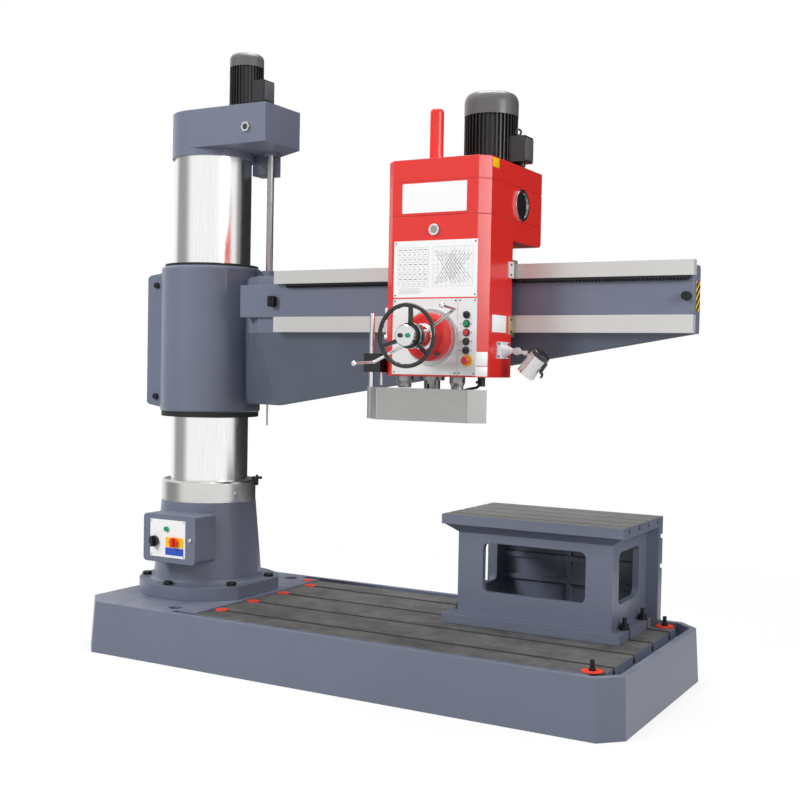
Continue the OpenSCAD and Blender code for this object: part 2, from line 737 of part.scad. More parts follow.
module arm_casting() color("#6b7185") difference() {
    union() {
        rotate_extrude() polygon([[0, hub_z0], [hub_r - 4, hub_z0], [hub_r, hub_z0 + 5], [hub_r, hub_z1 - 14],
            [hub_r - 4, hub_z1 - 4], [hub_r - 12, hub_z1], [0, hub_z1]]);
        translate([0, 0, guide_z0 - cut]) linear_extrude(arm_top - guide_z0 + cut) polygon(arm_plan(60));
        translate([0, 0, arm_bottom]) linear_extrude(arm_top - arm_bottom)
            polygon([[60, -20], [hub_r + 7, -20], [hub_r + 7, arm_back - 20], [60, arm_back]]);
        hull() {
            translate([0, 0, guide_z0 - cut]) linear_extrude(cut) polygon(arm_plan(hub_r - 3));
            translate([0, 0, arm_bottom]) linear_extrude(1)
                polygon([[hub_r - 3, -30], [web_foot_x, -130], [web_foot_x, -90],
                    [hub_r + 2, arm_back - 18]]);
        }
        translate([0, 0, guide_low_z1]) linear_extrude(guide_up_z0 - guide_low_z1)
            polygon([[band_x0, -guide_back], [arm_end, -guide_back], [arm_end, -body_front + 20],
                [460, -body_front + 20], [430, -100], [band_x0, -100]]);
        translate([0, lug_back, 0]) rotate([90, 0, 0]) linear_extrude(lug_back + lug_front)
            polygon([[-180, hub_z0 + 6], [lug_x + 16, hub_z0 + 22], [lug_x, hub_z0 + 32],
                [lug_x, hub_z1 - 44], [lug_x + 16, hub_z1 - 33], [-180, hub_z1 - 19]]);
        translate([arm_end - cut, 0, 0]) rotate([90, 0, 90]) linear_extrude(end_pad_t + cut)
            translate([-body_front + slip, guide_z0 - 2])
                round_rect([arm_tip_t - slip, arm_top - guide_z0 + 2], 14);
    }
    translate([0, 0, hub_z0 - cut]) cylinder(h = hub_h + 2 * cut, r = column_r + hub_gap);
    block([lug_x - cut, -lug_mid - 3, hub_z0 - cut], [-column_r + 15, -lug_mid + 3, hub_z1 + cut]);
    for (z = lug_bolt_zs) along_y(lug_bolt_x, z, -lug_back - cut, lug_front + cut, 11);
    translate([screw_x, screw_y, arm_bottom - cut])
        cylinder(h = arm_top - arm_bottom + 2 * cut, r = screw_r + 5);
    translate([screw_x, screw_y, arm_top - nut_sleeve_l - 1])
        cylinder(h = nut_sleeve_l + 2, r = nut_sleeve_r + slip);
}

module guideways() color("#c9cacb") for (g = [[guide_z0, guide_low_z1], [guide_up_z0, guide_up_z1]])
    block([guide_x0, -guide_y, g[0]], [arm_end + end_pad_t, -body_front, g[1]]);

module hub_wipers() color("#24252a")
    for (z = [[hub_z0 - 24, hub_z0, hub_r - 6], [hub_z1, hub_z1 + 11, hub_r - 16]]) difference() {
        translate([0, 0, z[0]]) cylinder(h = z[1] - z[0], r = z[2]);
        translate([0, 0, z[0] - cut]) cylinder(h = z[1] - z[0] + 2 * cut, r = column_r + hub_gap);
    }

module hub_clamp_bolts() color("#2d2f34") for (z = lug_bolt_zs) {
    along_y(lug_bolt_x, z, -lug_back, lug_front, 10.5);
    translate([lug_bolt_x, -lug_front, z]) rotate([90, 0, 0]) hex_head(15, 12);
    translate([lug_bolt_x, lug_back + 12, z]) rotate([90, 0, 0]) cylinder(h = 12, r = 15, $fn = 6);
}

module lift_nut() color("#7b8092") translate([screw_x, screw_y, arm_top]) difference() {
    union() {
        cylinder(h = 20, r = nut_r);
        cylinder(h = nut_flange_t, r = nut_sleeve_r);
        translate([0, 0, -nut_sleeve_l]) cylinder(h = nut_sleeve_l, r = nut_sleeve_r);
        for (a = [0:60:300]) rotate(a) translate([nut_r - 12, 0, 20]) cylinder(h = 8, r = 8, $fn = 6);
    }
    translate([0, 0, -nut_sleeve_l - cut])
        cylinder(h = nut_sleeve_l + nut_flange_t + 2 * cut, r = screw_r + run_gap);
}

module travel_stops() color("#26272b") {
    front_plate(guide_x0 - 34, guide_x0 - 2, stop_z - 23, stop_z + 23, guide_back, guide_y - 1, 8);
    for (z = [stop_z - 11, stop_z + 11]) along_y(guide_x0 - 18, z, guide_y - 1, guide_y + 4, 6);
    along_y(arm_end - 22, stop_z, guide_back, guide_y - 1, 16);
    for (z = [stop_z - 7, stop_z + 7]) along_y(arm_end - 22, z, guide_y - 1, guide_y + 3, 4);
}

function rack_points(n, p, add, ded, base) = concat([[0, base], [0, -ded]],
    [for (i = [0:n - 1], q = [[0.31, -ded], [0.40, add], [0.60, add], [0.69, -ded]]) [(i + q[0]) * p, q[1]]],
    [[n * p, -ded], [n * p, base]]);

rack_n = floor((arm_end - guide_x0 - 60) / rack_pitch);
rack_left = round((hub_axis_x - guide_x0 - 60) / rack_pitch);

// Straight rack under the upper guideway, teeth down
module traverse_rack() color("#6d6f72")
    translate([hub_axis_x - (rack_left + 0.5) * rack_pitch, -rack_y0, rack_z])
        rotate([90, 0, 0]) linear_extrude(rack_y1 - rack_y0)
            mirror([0, 1])
                polygon(rack_points(rack_n, rack_pitch, rack_add, rack_ded, -guide_up_z0 + rack_z));

// Outline of a small gear with straight-sided teeth, a gap pointing straight up
function gear_points(n, m, add, ded) = let (r = m * n / 2, s = 360 / n)
    [for (i = [0:n - 1], q = [[0.22, -ded], [0.34, 0], [0.43, add], [0.57, add], [0.66, 0], [0.78, -ded]])
        (r + q[1]) * [cos(90 + (i + q[0]) * s), sin(90 + (i + q[0]) * s)]];

module traverse_pinion() color("#8a8c90") {
    translate([hub_axis_x, -rack_y0 - 1, pinion_z]) rotate([90, 0, 0]) linear_extrude(rack_y1 - rack_y0 - 2)
        polygon(gear_points(pinion_n, rack_m, rack_add, rack_ded));
    along_y(hub_axis_x, pinion_z, rack_y1 - 1, head_back + 50, 12);
}

// Plan of the head with its front corners cut
function head_plan() = [[head_x0, -head_back], [head_x0, -head_front + head_cut],
    [head_x0 + head_cut, -head_front], [head_x1 - head_cut, -head_front],
    [head_x1, -head_front + head_cut], [head_x1, -head_back]];

module quill_bore() {
    translate([spindle_x, -spindle_y, head_z0 - cut]) {
        cylinder(h = quill_z1 + 12 - head_z0, r = quill_r + run_gap);
        cylinder(h = head_top - head_z0 + 2 * cut, r = drive_r + 3);
    }
}

module button_pocket(x, z, r) { along_y(x, z, head_front - 9, head_front + panel_t + 5, r + slip); }

module head_body() color("#e3302a") difference() {
    union() {
        translate([0, 0, head_z0]) linear_extrude(head_split - head_z0) polygon(head_plan());
        translate([head_x0, 0, 0]) rotate([90, 0, 90]) linear_extrude(head_w)
            polygon([[-head_back - 1, overhang_z0 + 6], [-head_back + 4, overhang_z0], [-18, overhang_z0],
                [-5, overhang_z0 + 5], [0, overhang_z0 + 18], [0, head_split], [-head_back - 1, head_split]]);
    }
    quill_bore();
    pocket_w = feed_rack_w / 2 + 2;
    along_y(hub_axis_x, hub_axis_z, spindle_y - pocket_w, spindle_y + pocket_w, pocket_r);
    along_y(hub_axis_x, hub_axis_z, head_back + 30, head_front + cut, feed_shaft_r + run_gap);
    along_y(hub_axis_x, pinion_z, head_back - cut, head_back + 52, 12 + run_gap);
    for (z = button_zs) button_pocket(button_x, z, button_r);
    button_pocket(button_x, selector_z, button_r);
    button_pocket(estop_at[0], estop_at[1], 9);
    for (at = [knob_l_at, knob_r_at]) translate([at[0], at[1], head_z0 - cut])
        cylinder(h = knob_shaft_l + 2, r = knob_shaft_r + run_gap);
    along_x(spindle_lever_at[1], spindle_lever_at[2], head_x0 - cut, head_x0 + 22, 6 + run_gap);
}

// Plan of the upper housing, shrunk by a margin
module housing_plan(m) {
    c = head_cut + m / 2;
    polygon([[head_x0 + m, -m], [head_x0 + m, -head_front + c], [head_x0 + c, -head_front + m],
        [head_x1 - c, -head_front + m], [head_x1 - m, -head_front + c], [head_x1 - m, -m]]);
}

// Upper housing of the head with the seams between its castings
module gearbox_housing() color("#e3302a") difference() {
    translate([0, 0, head_split]) linear_extrude(head_top - head_split) housing_plan(0);
    quill_bore();
    for (z = [head_split, head_split + 127]) difference() {
        block([head_x0 - cut, -head_front - cut, z - 1], [head_x1 + cut, cut, z + 1]);
        translate([0, 0, z - 2]) linear_extrude(4) housing_plan(2);
    }
}

module front_plates() color("#f4f4f4") {
    y = head_front + plate_t;
    front_plate(head_x0 + 78, head_x1 - 81, head_split + 11, head_split + 120, head_front, y, 3);
    front_plate(panel_x[0], panel_x[2] - 2, panel_z[1] + 5, head_split - 91, head_front, y, 3);
}

module panel_plate() color("#eceded") {
    difference() {
        union() {
            front_plate(panel_x[0], panel_x[1], panel_z[0], panel_z[1], head_front, panel_y, 3);
            front_plate(panel_x[1] + 1.5, panel_x[2], panel_z[0], panel_z[1], head_front, panel_y, 3);
            for (z = concat(button_zs, [selector_z]))
                along_y(button_x, z, panel_y, panel_y + 3, button_r + 4);
            along_y(estop_at[0], estop_at[1], panel_y, panel_y + 2, 21);
        }
        for (z = concat(button_zs, [selector_z])) button_pocket(button_x, z, button_r);
        button_pocket(estop_at[0], estop_at[1], 9);
        along_y(hub_axis_x, hub_axis_z, head_front - cut, panel_y + cut, feed_shaft_r + 3);
    }
}

// Oil level sight on the front and round window on the right side
module oil_sights() color("#dfe1e3") {
    translate([head_x0 + 214, -head_front, head_split - 52]) rotate([90, 0, 0]) difference() {
        cylinder(h = 8, r = 21);
        translate([0, 0, 4]) cylinder(h = 8, r = 14);
    }
    translate([head_x1, -198, head_split + 63]) rotate([0, 90, 0]) difference() {
        cylinder(h = 8, r = 60);
        translate([0, 0, 2]) cylinder(h = 8, r = 49);
    }
}

module main_motor() color("#3e4043") translate([motor_x, -motor_y, head_top]) {
    cylinder(h = 16, r = motor_r + 8);
    translate([0, 0, 16]) finned_frame(motor_r, motor_r - 13, 40, motor_l);
    block([motor_r - 18, -38, 24], [motor_r + 55, 42, 122]);
    translate([motor_r + 10, 2, 120]) cylinder(h = 12, r = 5);
    translate([motor_r + 10, 2, 142]) rotate([90, 0, 35]) rotate_extrude() translate([11, 0]) circle(r = 4);
}

module main_motor_cowl() color("#4a4c4f") translate([motor_x, -motor_y, head_top + 16 + motor_l])
    fan_cowl(motor_r + 1, motor_r - 24, main_cowl_h, 50);

module spindle_cover() color("#e3302a") translate([spindle_x, -spindle_y, head_top]) difference() {
    rotate_extrude() polygon([[0, 0], [26, 0], [26, 194], [23, 202], [18, 205], [0, 205]]);
    translate([0, 0, -cut]) cylinder(h = 190, r = drive_r + 4);
}

// Slide pads behind the head that run on the front of the guideways and hook over their edges
module head_keepers() color("#c3b79a") for (x = [head_x0 + 6, head_x1 - 66]) {
    block([x, -head_back, guide_up_z0 + 8], [x + 60, -guide_y - slip, guide_up_z1 + 16]);
    block([x, -guide_y - 1, guide_up_z1 + slip], [x + 60, -body_front + 10, guide_up_z1 + 16]);
    block([x, -body_front + slip, arm_top + 4], [x + 60, -body_front + 10, guide_up_z1 + 16]);
    block([x, -head_back, guide_z0 - 16], [x + 60, -guide_y - slip, guide_low_z1 - 8]);
    block([x, -guide_y - 1, guide_z0 - 16], [x + 60, -body_front - 4, guide_z0 - slip]);
}

// Clamp of the guard post on the left side and lamp bracket on the right side
module head_brackets() color("#2a2b2e") {
    difference() {
        translate([post_at[0] - 17, post_at[1] - 30, head_z0 + 12]) cube([head_x0 - post_at[0] + 17, 60, 70]);
        translate([post_at[0], post_at[1], head_z0 + 10]) cylinder(h = 80, r = post_r + slip);
    }
    translate([post_at[0] + 44, post_at[1], head_z0 - 38]) cylinder(h = 51, r = 6);
    translate([head_x1, lamp_at[1] - 51, head_z0 + 70]) cube([6, 100, 62]);
    translate([head_x1 + 5, lamp_at[1], lamp_at[2] + 2]) rotate([0, 90, 0]) cylinder(h = 40, r1 = 24, r2 = 9);
    difference() {
        union() {
            along_y(lamp_at[0], lamp_at[2], -lamp_at[1] - 10, -lamp_at[1] - slip, 14);
            bar([head_x1 + 30, lamp_at[1] + 5, lamp_at[2] + 2],
                [lamp_at[0] - 8, lamp_at[1] + 6, lamp_at[2]], 5);
        }
        along_y(lamp_at[0], lamp_at[2], -lamp_at[1] - 20, -lamp_at[1] + 20, 5 + slip);
    }
}

module coolant_pipe() color("#3a3b3e") {
    steps = [[0, 0, 0], [0, 0, -24], [-15, -8, -38], [-55, -5, -46], [-105, 8, -58], [-143, 16, -80]];
    pts = [for (p = steps) p + [pipe_at[0], pipe_at[1], head_z0]];
    translate([pipe_at[0], pipe_at[1], head_z0 - 34]) cylinder(h = 34, r = 14);
    along_y(pipe_at[0], head_z0 - 18, 14 - pipe_at[1], 40 - pipe_at[1], 5);
    for (i = [1:len(pts) - 2]) {
        bar(pts[i], pts[i + 1], 5);
        translate(pts[i]) sphere(5.6);
    }
}

// Handwheel with a waved grip rim, three dished spokes and a stepped boss
module handwheel() color("#202123") {
    rim = wheel_r - wheel_rim_r;
    translate([hub_axis_x, -wheel_y, hub_axis_z]) rotate([90, 0, 0]) {
        rotate_extrude() translate([rim, 0]) circle(wheel_rim_r);
        for (i = [0:wheel_waves - 1]) rotate(i * 360 / wheel_waves)
            translate([rim - 2.2, 0, -2.2]) sphere(wheel_rim_r - 0.4);
        for (a = spoke_angles) rotate(a) rotate([90, 0, 0]) translate([0, 0, -spoke_w / 2])
            linear_extrude(spoke_w) polygon([[lever_hub_r - 6, -30], [lever_hub_r + 4, -28], [rim, -5],
                [rim, 4], [lever_hub_r - 6, -14]]);
    }
    along_y(hub_axis_x, hub_axis_z, boss_y0, boss_y1 - 10, lever_hub_r + 4);
    along_y(hub_axis_x, hub_axis_z, boss_y0, boss_y1, lever_hub_r);
    along_y(hub_axis_x, hub_axis_z, head_back + 40, boss_y0 + cut, wheel_shaft_r);
}

// Silver cap with the two push buttons' bores
module hub_cap() color("#e4e6e8") difference() {
    t = hubcap_y1 - boss_y1;
    translate([hub_axis_x, -boss_y1, hub_axis_z]) rotate([90, 0, 0]) rotate_extrude()
        polygon([[0, 0], [hubcap_r, 0], [hubcap_r, t - 3], [hubcap_r - 3, t], [0, t]]);
    for (s = [-1, 1]) along_y(hub_axis_x + s * 15, hub_axis_z, hubcap_y1 - 9, hubcap_y1 + cut, 8 + slip);
}

module round_button(x, z, y, r, out, travel) {
    translate([x, -y, z]) rotate([90, 0, 0]) rotate_extrude()
        polygon([[0, travel - 8], [r, travel - 8], [r, out - 1.5], [r - 1.5, out], [0, out]]);
}

module clamp_button() color("#2f9e6a")
    round_button(hub_axis_x + 15, hub_axis_z, hubcap_y1, 8, 8, button_travel);
module release_button() color("#1c1c1e")
    round_button(hub_axis_x - 15, hub_axis_z, hubcap_y1, 8, 8, button_travel);

// Graduated ring with the red drum of the feed hub in front of it
module feed_drum() color("#d92b25") difference() {
    union() {
        along_y(hub_axis_x, hub_axis_z, dial_y, drum_y, dial_r);
        translate([hub_axis_x, -drum_y, hub_axis_z]) rotate([90, 0, 0]) rotate_extrude()
            polygon([[0, 0], [drum_r, 0], [drum_r, drum_l - 16], [drum_r - 5, drum_l - 5],
                [drum_r - 14, drum_l], [0, drum_l]]);
    }
    along_y(hub_axis_x, hub_axis_z, dial_y - cut, lever_y0 + cut, feed_shaft_r + slip);
}

function ring_at(r, a, y) = [hub_axis_x + r * cos(a), -y, hub_axis_z + r * sin(a)];

module feed_levers() color("#b7babd") {
    difference() {
        translate([hub_axis_x, -lever_y0, hub_axis_z]) rotate([90, 0, 0]) rotate_extrude()
            polygon([[wheel_shaft_r + 3, 0], [lever_hub_r + 6, 0], [lever_hub_r + 6, 12], [lever_hub_r, 16],
                [lever_hub_r, lever_y1 - lever_y0], [wheel_shaft_r + 3, lever_y1 - lever_y0]]);
        along_y(hub_axis_x, hub_axis_z, lever_y0 - cut, lever_y0 + 30, feed_shaft_r + slip);
    }
    for (a = lever_angles) {
        root = ring_at(lever_hub_r - 12, a, lever_y0 + 34);
        bend = ring_at(lever_reach, a, lever_y0 + 34 + lever_lean);
        tip = ring_at(lever_reach + 14, a, lever_y0 + 34 + lever_lean + 120);
        bar(root, bend, lever_rod_r);
        translate(bend) sphere(lever_rod_r + 0.8);
        bar(bend, tip, lever_rod_r - 1);
        translate(tip) sphere(lever_ball_r);
    }
}

// Hollow feed shaft with the pinion that drives the quill's rack
module pinion_shaft() color("#8f9296") difference() {
    union() {
        along_y(hub_axis_x, hub_axis_z, head_back + 32, lever_y0 + 29, feed_shaft_r);
        translate([hub_axis_x, -spindle_y + feed_pinion_w / 2, hub_axis_z]) rotate([90, 0, 0])
            linear_extrude(feed_pinion_w) rotate(90)
                polygon(gear_points(feed_n, feed_m, 0.75 * feed_m, 1.1 * feed_m));
    }
    along_y(hub_axis_x, hub_axis_z, head_back + 30, lever_y0 + 31, wheel_shaft_r + run_gap);
}

// Quill with a rack cut into its right flank
module quill() color("#9b9ea2") difference() {
    translate([spindle_x, -spindle_y, quill_z0]) cylinder(h = quill_z1 - quill_z0, r = quill_r);
    translate([spindle_x, -spindle_y, quill_z0 - cut])
        cylinder(h = quill_z1 - quill_z0 + 2 * cut, r = shaft_r + run_gap);
    translate([spindle_x + feed_line, -spindle_y + feed_rack_w / 2, hub_axis_z - 2.5 * feed_pitch])
        rotate([90, 0, 0]) linear_extrude(feed_rack_w) rotate(90) mirror([0, 1])
            polygon(rack_points(40, feed_pitch, 0.75 * feed_m, 1.1 * feed_m, 12));
}

module spindle() color("#6f7276") translate([spindle_x, -spindle_y, 0]) difference() {
    union() {
        translate([0, 0, nose_z0]) cylinder(h = nose_l - slip, r = nose_r);
        translate([0, 0, quill_z0 - cut]) cylinder(h = quill_z1 + 5 - quill_z0, r = shaft_r);
        translate([0, 0, quill_z1]) cylinder(h = head_top + 180 - quill_z1, r = drive_r);
    }
    translate([0, 0, nose_z0 - cut]) cylinder(h = 120, r1 = 22.2, r2 = 18.4);
    translate([-4, -nose_r - cut, nose_z0 + 62]) cube([8, 2 * nose_r + 2 * cut, 30]);
}

module mode_selector() color("#1d1d1f") {
    round_button(button_x, selector_z, panel_y, button_r, 6, button_travel);
    translate([button_x, -panel_y - 5, selector_z]) rotate([90, 0, 0]) rotate(35)
        translate([-3, -9.5, 0]) cube([6, 19, 12]);
}

module panel_button(i) { round_button(button_x, button_zs[i], panel_y, button_r, button_out, button_travel); }
module start_button() color("#1f9d62") panel_button(0);
module stop_button() color("#d6322d") panel_button(1);
module raise_button() color("#1d1d1f") panel_button(2);
module lower_button() color("#1d1d1f") panel_button(3);
module emergency_stop() color("#d6322d") translate([estop_at[0], -panel_y, estop_at[1]]) rotate([90, 0, 0])
    rotate_extrude() polygon([[0, button_travel - 8], [8.5, button_travel - 8], [8.5, 12], [estop_r, 14],
        [estop_r, 21], [estop_r - 3, 25], [0, 26]]);

// Stepped preselection knob under the head
module preselect_knob(at, r, h) {
    translate([at[0], at[1], head_z0 - slip - h]) rotate_extrude()
        polygon([[0, 0], [r * 0.72, 0], [r * 0.78, 5], [r * 0.78, h * 0.35], [r * 0.9, h * 0.5], [r, h * 0.6],
            [r, h], [knob_shaft_r, h], [knob_shaft_r, h + knob_shaft_l], [0, h + knob_shaft_l]]);
}

module speed_knob() color("#6b6d70") preselect_knob(knob_l_at, 34, 44);
module feed_knob() color("#6b6d70") preselect_knob(knob_r_at, 29, 56);

module spindle_lever() color("#e9e9e6") {
    p = spindle_lever_at;
    along_x(p[1], p[2], p[0] - 8, head_x0 - slip, 10);
    along_x(p[1], p[2], p[0], head_x0 + 20, 6);
    bar(p, p + [-2, 0, 84], 4);
    translate(p + [-2, 0, 80]) cylinder(h = 24, r1 = 6, r2 = 7.5);
    translate(p + [-2, 0, 104]) sphere(7.5);
}

// Link between the lamp's bracket and the lamp, with a pivot pin at its inner end
module lamp_arm() color("#c8cacc") {
    near = -lamp_at[1];
    difference() {
        union() {
            along_y(lamp_at[0], lamp_at[2], near, near + 8, 13);
            along_y(lamp_at[0], lamp_at[2], near - 13, near + 1, 5);
            hull() {
                along_y(lamp_at[0], lamp_at[2], near + 0.5, near + 7.5, 6);
                along_y(lamp_tip[0], lamp_tip[2], near + 0.5, near + 7.5, 6);
            }
            along_y(lamp_tip[0], lamp_tip[2], near, near + 8, 9);
        }
        along_y(lamp_tip[0], lamp_tip[2], near - cut, near + 8 + cut, lamp_pin_r + slip);
    }
}

// Ribbed lamp body with the ear and pin that carry it on the link
module lamp_head() color("#d2d4d6") difference() {
    union() {
        translate(lamp_mid) rotate([0, lamp_lean - 180, 0]) {
            translate([0, 0, -lamp_l / 2]) cylinder(h = 14, r = lamp_r - 3);
            translate([0, 0, -lamp_l / 2 + 14]) linear_extrude(lamp_l - 28) {
                circle(lamp_r - 3);
                for (i = [0:17]) rotate(i * 20) translate([lamp_r - 5, -2.2]) square([5, 4.4]);
            }
            translate([0, 0, lamp_l / 2 - 14]) cylinder(h = 14, r = lamp_r);
        }
        along_y(lamp_tip[0], lamp_tip[2], lamp_ear[1], lamp_ear[2], 8);
        bar([lamp_tip[0], -(lamp_ear[1] + lamp_ear[2]) / 2, lamp_tip[2]],
            [lamp_mid[0], -(lamp_ear[1] + lamp_ear[2]) / 2, lamp_mid[2]], lamp_ear[0] - 0.6);
        along_y(lamp_tip[0], lamp_tip[2], lamp_ear[1], lamp_ear[2] + 10, lamp_pin_r);
    }
    translate(lamp_mid) rotate([0, lamp_lean - 180, 0])
        translate([0, 0, lamp_l / 2 - 8]) cylinder(h = 9, r = lamp_r - 4);
}

module guard_post() color("#d9dbdd") translate([post_at[0], post_at[1], guard_top - guard_h])
    cylinder(h = hub_axis_z + 89 - guard_top + guard_h, r = post_r);

function side_step(p, q, t) = let (d = (q - p) / norm(q - p)) [-d[1], d[0]] * t;

// Bent sheet guard with a sleeve round its post
module guard_sheet() color("#a9abad") {
    path = concat([[post_at[0] + 6, post_at[1] - post_r - 4]], guard_fold);
    difference() {
        union() {
            translate([0, 0, guard_top - guard_h]) linear_extrude(guard_h)
                for (i = [0:len(path) - 2]) let (o = side_step(path[i], path[i + 1], guard_t))
                    polygon([path[i], path[i + 1], path[i + 1] + o, path[i] + o]);
            translate([0, 0, guard_top - guard_h]) linear_extrude(guard_h)
                for (i = [1:len(path) - 2]) translate(path[i]) circle(r = guard_t * 0.9);
            translate([post_at[0], post_at[1], guard_top - guard_h]) cylinder(h = guard_h, r = post_r + 5);
        }
        translate([post_at[0], post_at[1], guard_top - guard_h - cut])
            cylinder(h = guard_h + 2 * cut, r = post_r + slip);
    }
}

base_casting();
slot_caps();
clamp_studs();
pedestal();
pedestal_bolts();
inner_column();
column_bearings();
clamp_ring();
control_box();
control_plate();
work_table();
pump_switch();
main_switch();
column_sleeve();
top_cap();
cap_plug();
lift_motor();
lift_motor_cowl();
lift_screw();
arm_casting();
guideways();
hub_wipers();
hub_clamp_bolts();
lift_nut();
travel_stops();
traverse_rack();
head_body();
gearbox_housing();
front_plates();
panel_plate();
oil_sights();
main_motor();
main_motor_cowl();
spindle_cover();
head_keepers();
head_brackets();
coolant_pipe();
traverse_pinion();
handwheel();
hub_cap();
clamp_button();
release_button();
feed_drum();
feed_levers();
pinion_shaft();
quill();
spindle();
mode_selector();
start_button();
stop_button();
raise_button();
lower_button();
emergency_stop();
speed_knob();
feed_knob();
spindle_lever();
lamp_arm();
lamp_head();
guard_post();
guard_sheet();
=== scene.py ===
# %% [markdown]
# # Radial arm drill
# The machine stands on a ribbed cast base. A column turns on it, an arm climbs along the column, and a drilling head
# travels along the arm.
# The imported model has every solid in its place already. So this script adds only what solids don't carry: finishes,
# prints, thin trim and the studio round the machine. `cad_parts` holds the model's nodes by name.

# %% Load the imported model
import math

import bmesh
import bpy
from mathutils import Matrix, Vector


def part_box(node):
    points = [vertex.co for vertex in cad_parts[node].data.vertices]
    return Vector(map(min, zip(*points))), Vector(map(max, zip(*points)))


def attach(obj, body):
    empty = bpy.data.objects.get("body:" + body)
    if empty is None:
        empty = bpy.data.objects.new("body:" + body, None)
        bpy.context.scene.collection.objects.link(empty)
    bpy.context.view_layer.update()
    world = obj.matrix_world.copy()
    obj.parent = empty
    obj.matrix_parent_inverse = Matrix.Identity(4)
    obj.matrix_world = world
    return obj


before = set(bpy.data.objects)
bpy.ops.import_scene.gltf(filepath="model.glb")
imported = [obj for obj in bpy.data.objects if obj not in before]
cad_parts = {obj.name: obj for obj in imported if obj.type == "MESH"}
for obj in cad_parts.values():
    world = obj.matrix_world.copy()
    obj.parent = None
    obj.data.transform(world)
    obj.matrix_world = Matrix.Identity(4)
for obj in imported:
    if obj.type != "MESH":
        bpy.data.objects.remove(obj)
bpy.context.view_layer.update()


# %% [markdown]
# ## Helpers for shader trees
# A finish is a small tree of shader nodes. Such trees can be drawn by hand in the Shader Editor. Short helpers build
# them here, so that some thirty materials share the same lines.
# Colours are written as screen values from 0 to 255, as a colour picker shows them, and turned into linear light.

# %% Colour and node helpers
def rgb(r, g, b):
    """Linear colour from screen values."""
    shares = (c / 255 for c in (r, g, b))
    return tuple(((s + 0.055) / 1.055) ** 2.4 if s > 0.04 else s / 12.92 for s in shares) + (1.0,)


def feed(tree, socket, value):
    """Links a socket to another one, or fills it with a plain value."""
    if isinstance(value, bpy.types.NodeSocket):
        tree.links.new(value, socket)
    else:
        socket.default_value = value


def add(tree, kind, ins=None, **props):
    """A new shader node with its properties set and its sockets filled or linked."""
    made = tree.nodes.new("ShaderNode" + kind)
    for key, value in props.items():
        setattr(made, key, value)
    for key, value in (ins or {}).items():
        feed(tree, made.inputs[key], value)
    return made


def calc(tree, operation, a, b=0.0, clamp=False):
    """The result socket of a math node."""
    return add(tree, "Math", {0: a, 1: b}, operation=operation, use_clamp=clamp).outputs[0]


def mix(tree, factor, a, b):
    """The colour socket of a mix node: a where the factor is 0, b where it is 1."""
    return add(tree, "Mix", {0: factor, 6: a, 7: b}, data_type="RGBA").outputs[2]


def own_place(tree):
    """Each point's place in its object's own space, so that a finish rides with its piece."""
    return add(tree, "TexCoord").outputs["Object"]


def noise(tree, place, scale, detail, rough=0.5):
    """A smooth random value from 0 to 1 at each place."""
    return add(tree, "TexNoise", {"Vector": place, "Scale": scale, "Detail": detail,
                                  "Roughness": rough}).outputs["Fac"]


print("white in linear light:", rgb(255, 255, 255))

# %% [markdown]
# ## Shared surface effects
# An effect is a node group. It could be drawn again inside each material, but as a group it is made once and gives
# its colour, mask or normal to all of them.

# %% Group builder
SOCKETS = {"f": "NodeSocketFloat", "c": "NodeSocketColor", "v": "NodeSocketVector"}


def group(name, ins, outs):
    """A shader node group with named sockets, its input node and its output node."""
    tree = bpy.data.node_groups.new(name, "ShaderNodeTree")
    for label, kind, default in ins:
        socket = tree.interface.new_socket(label, in_out="INPUT", socket_type=SOCKETS[kind])
        if default is not None:
            socket.default_value = default
    for label, kind in outs:
        tree.interface.new_socket(label, in_out="OUTPUT", socket_type=SOCKETS[kind])
    return tree, tree.nodes.new("NodeGroupInput"), tree.nodes.new("NodeGroupOutput")


print("kinds of socket:", list(SOCKETS))


# %% [markdown]
# ### Soft edges
# The corners of a casting are rounded, and hands and tools rub them pale. Bevelled meshes could show that, but the
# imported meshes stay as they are, so a Bevel node bends the light at the corners instead.
# Where the bent normal leaves the true one there is an edge, and that makes the mask for the wear.

# %% Soft edges
def make_soft_edges():
    """Rounded normals at corners, and a spotty mask of the worn edges."""
    tree, src, out = group("Soft edges", [("Width", "f", 0.003), ("Wear", "f", 0.5)],
                           [("Normal", "v"), ("Edge", "f")])
    bevel = add(tree, "Bevel", {"Radius": src.outputs["Width"]}, samples=6)
    true = add(tree, "NewGeometry").outputs["Normal"]
    turn = add(tree, "VectorMath", {0: bevel.outputs[0], 1: true}, operation="DOT_PRODUCT").outputs["Value"]
    spots = noise(tree, own_place(tree), 22.0, 4.0)
    contrast = 6.0
    edge = calc(tree, "MULTIPLY", calc(tree, "SUBTRACT", 1.0, turn), contrast, True)
    edge = calc(tree, "MULTIPLY", edge, calc(tree, "MULTIPLY", spots, src.outputs["Wear"]))
    tree.links.new(bevel.outputs[0], out.inputs["Normal"])
    tree.links.new(edge, out.inputs["Edge"])
    return tree


EDGES = make_soft_edges()
print("group:", EDGES.name)


# %% [markdown]
# ### Relief
# Paint dries with an orange-peel skin, and turned or ground metal has fine lines. Both are too fine for a mesh, so a
# bump from noise shows them. Stretching the noise along one axis turns its spots into lines.

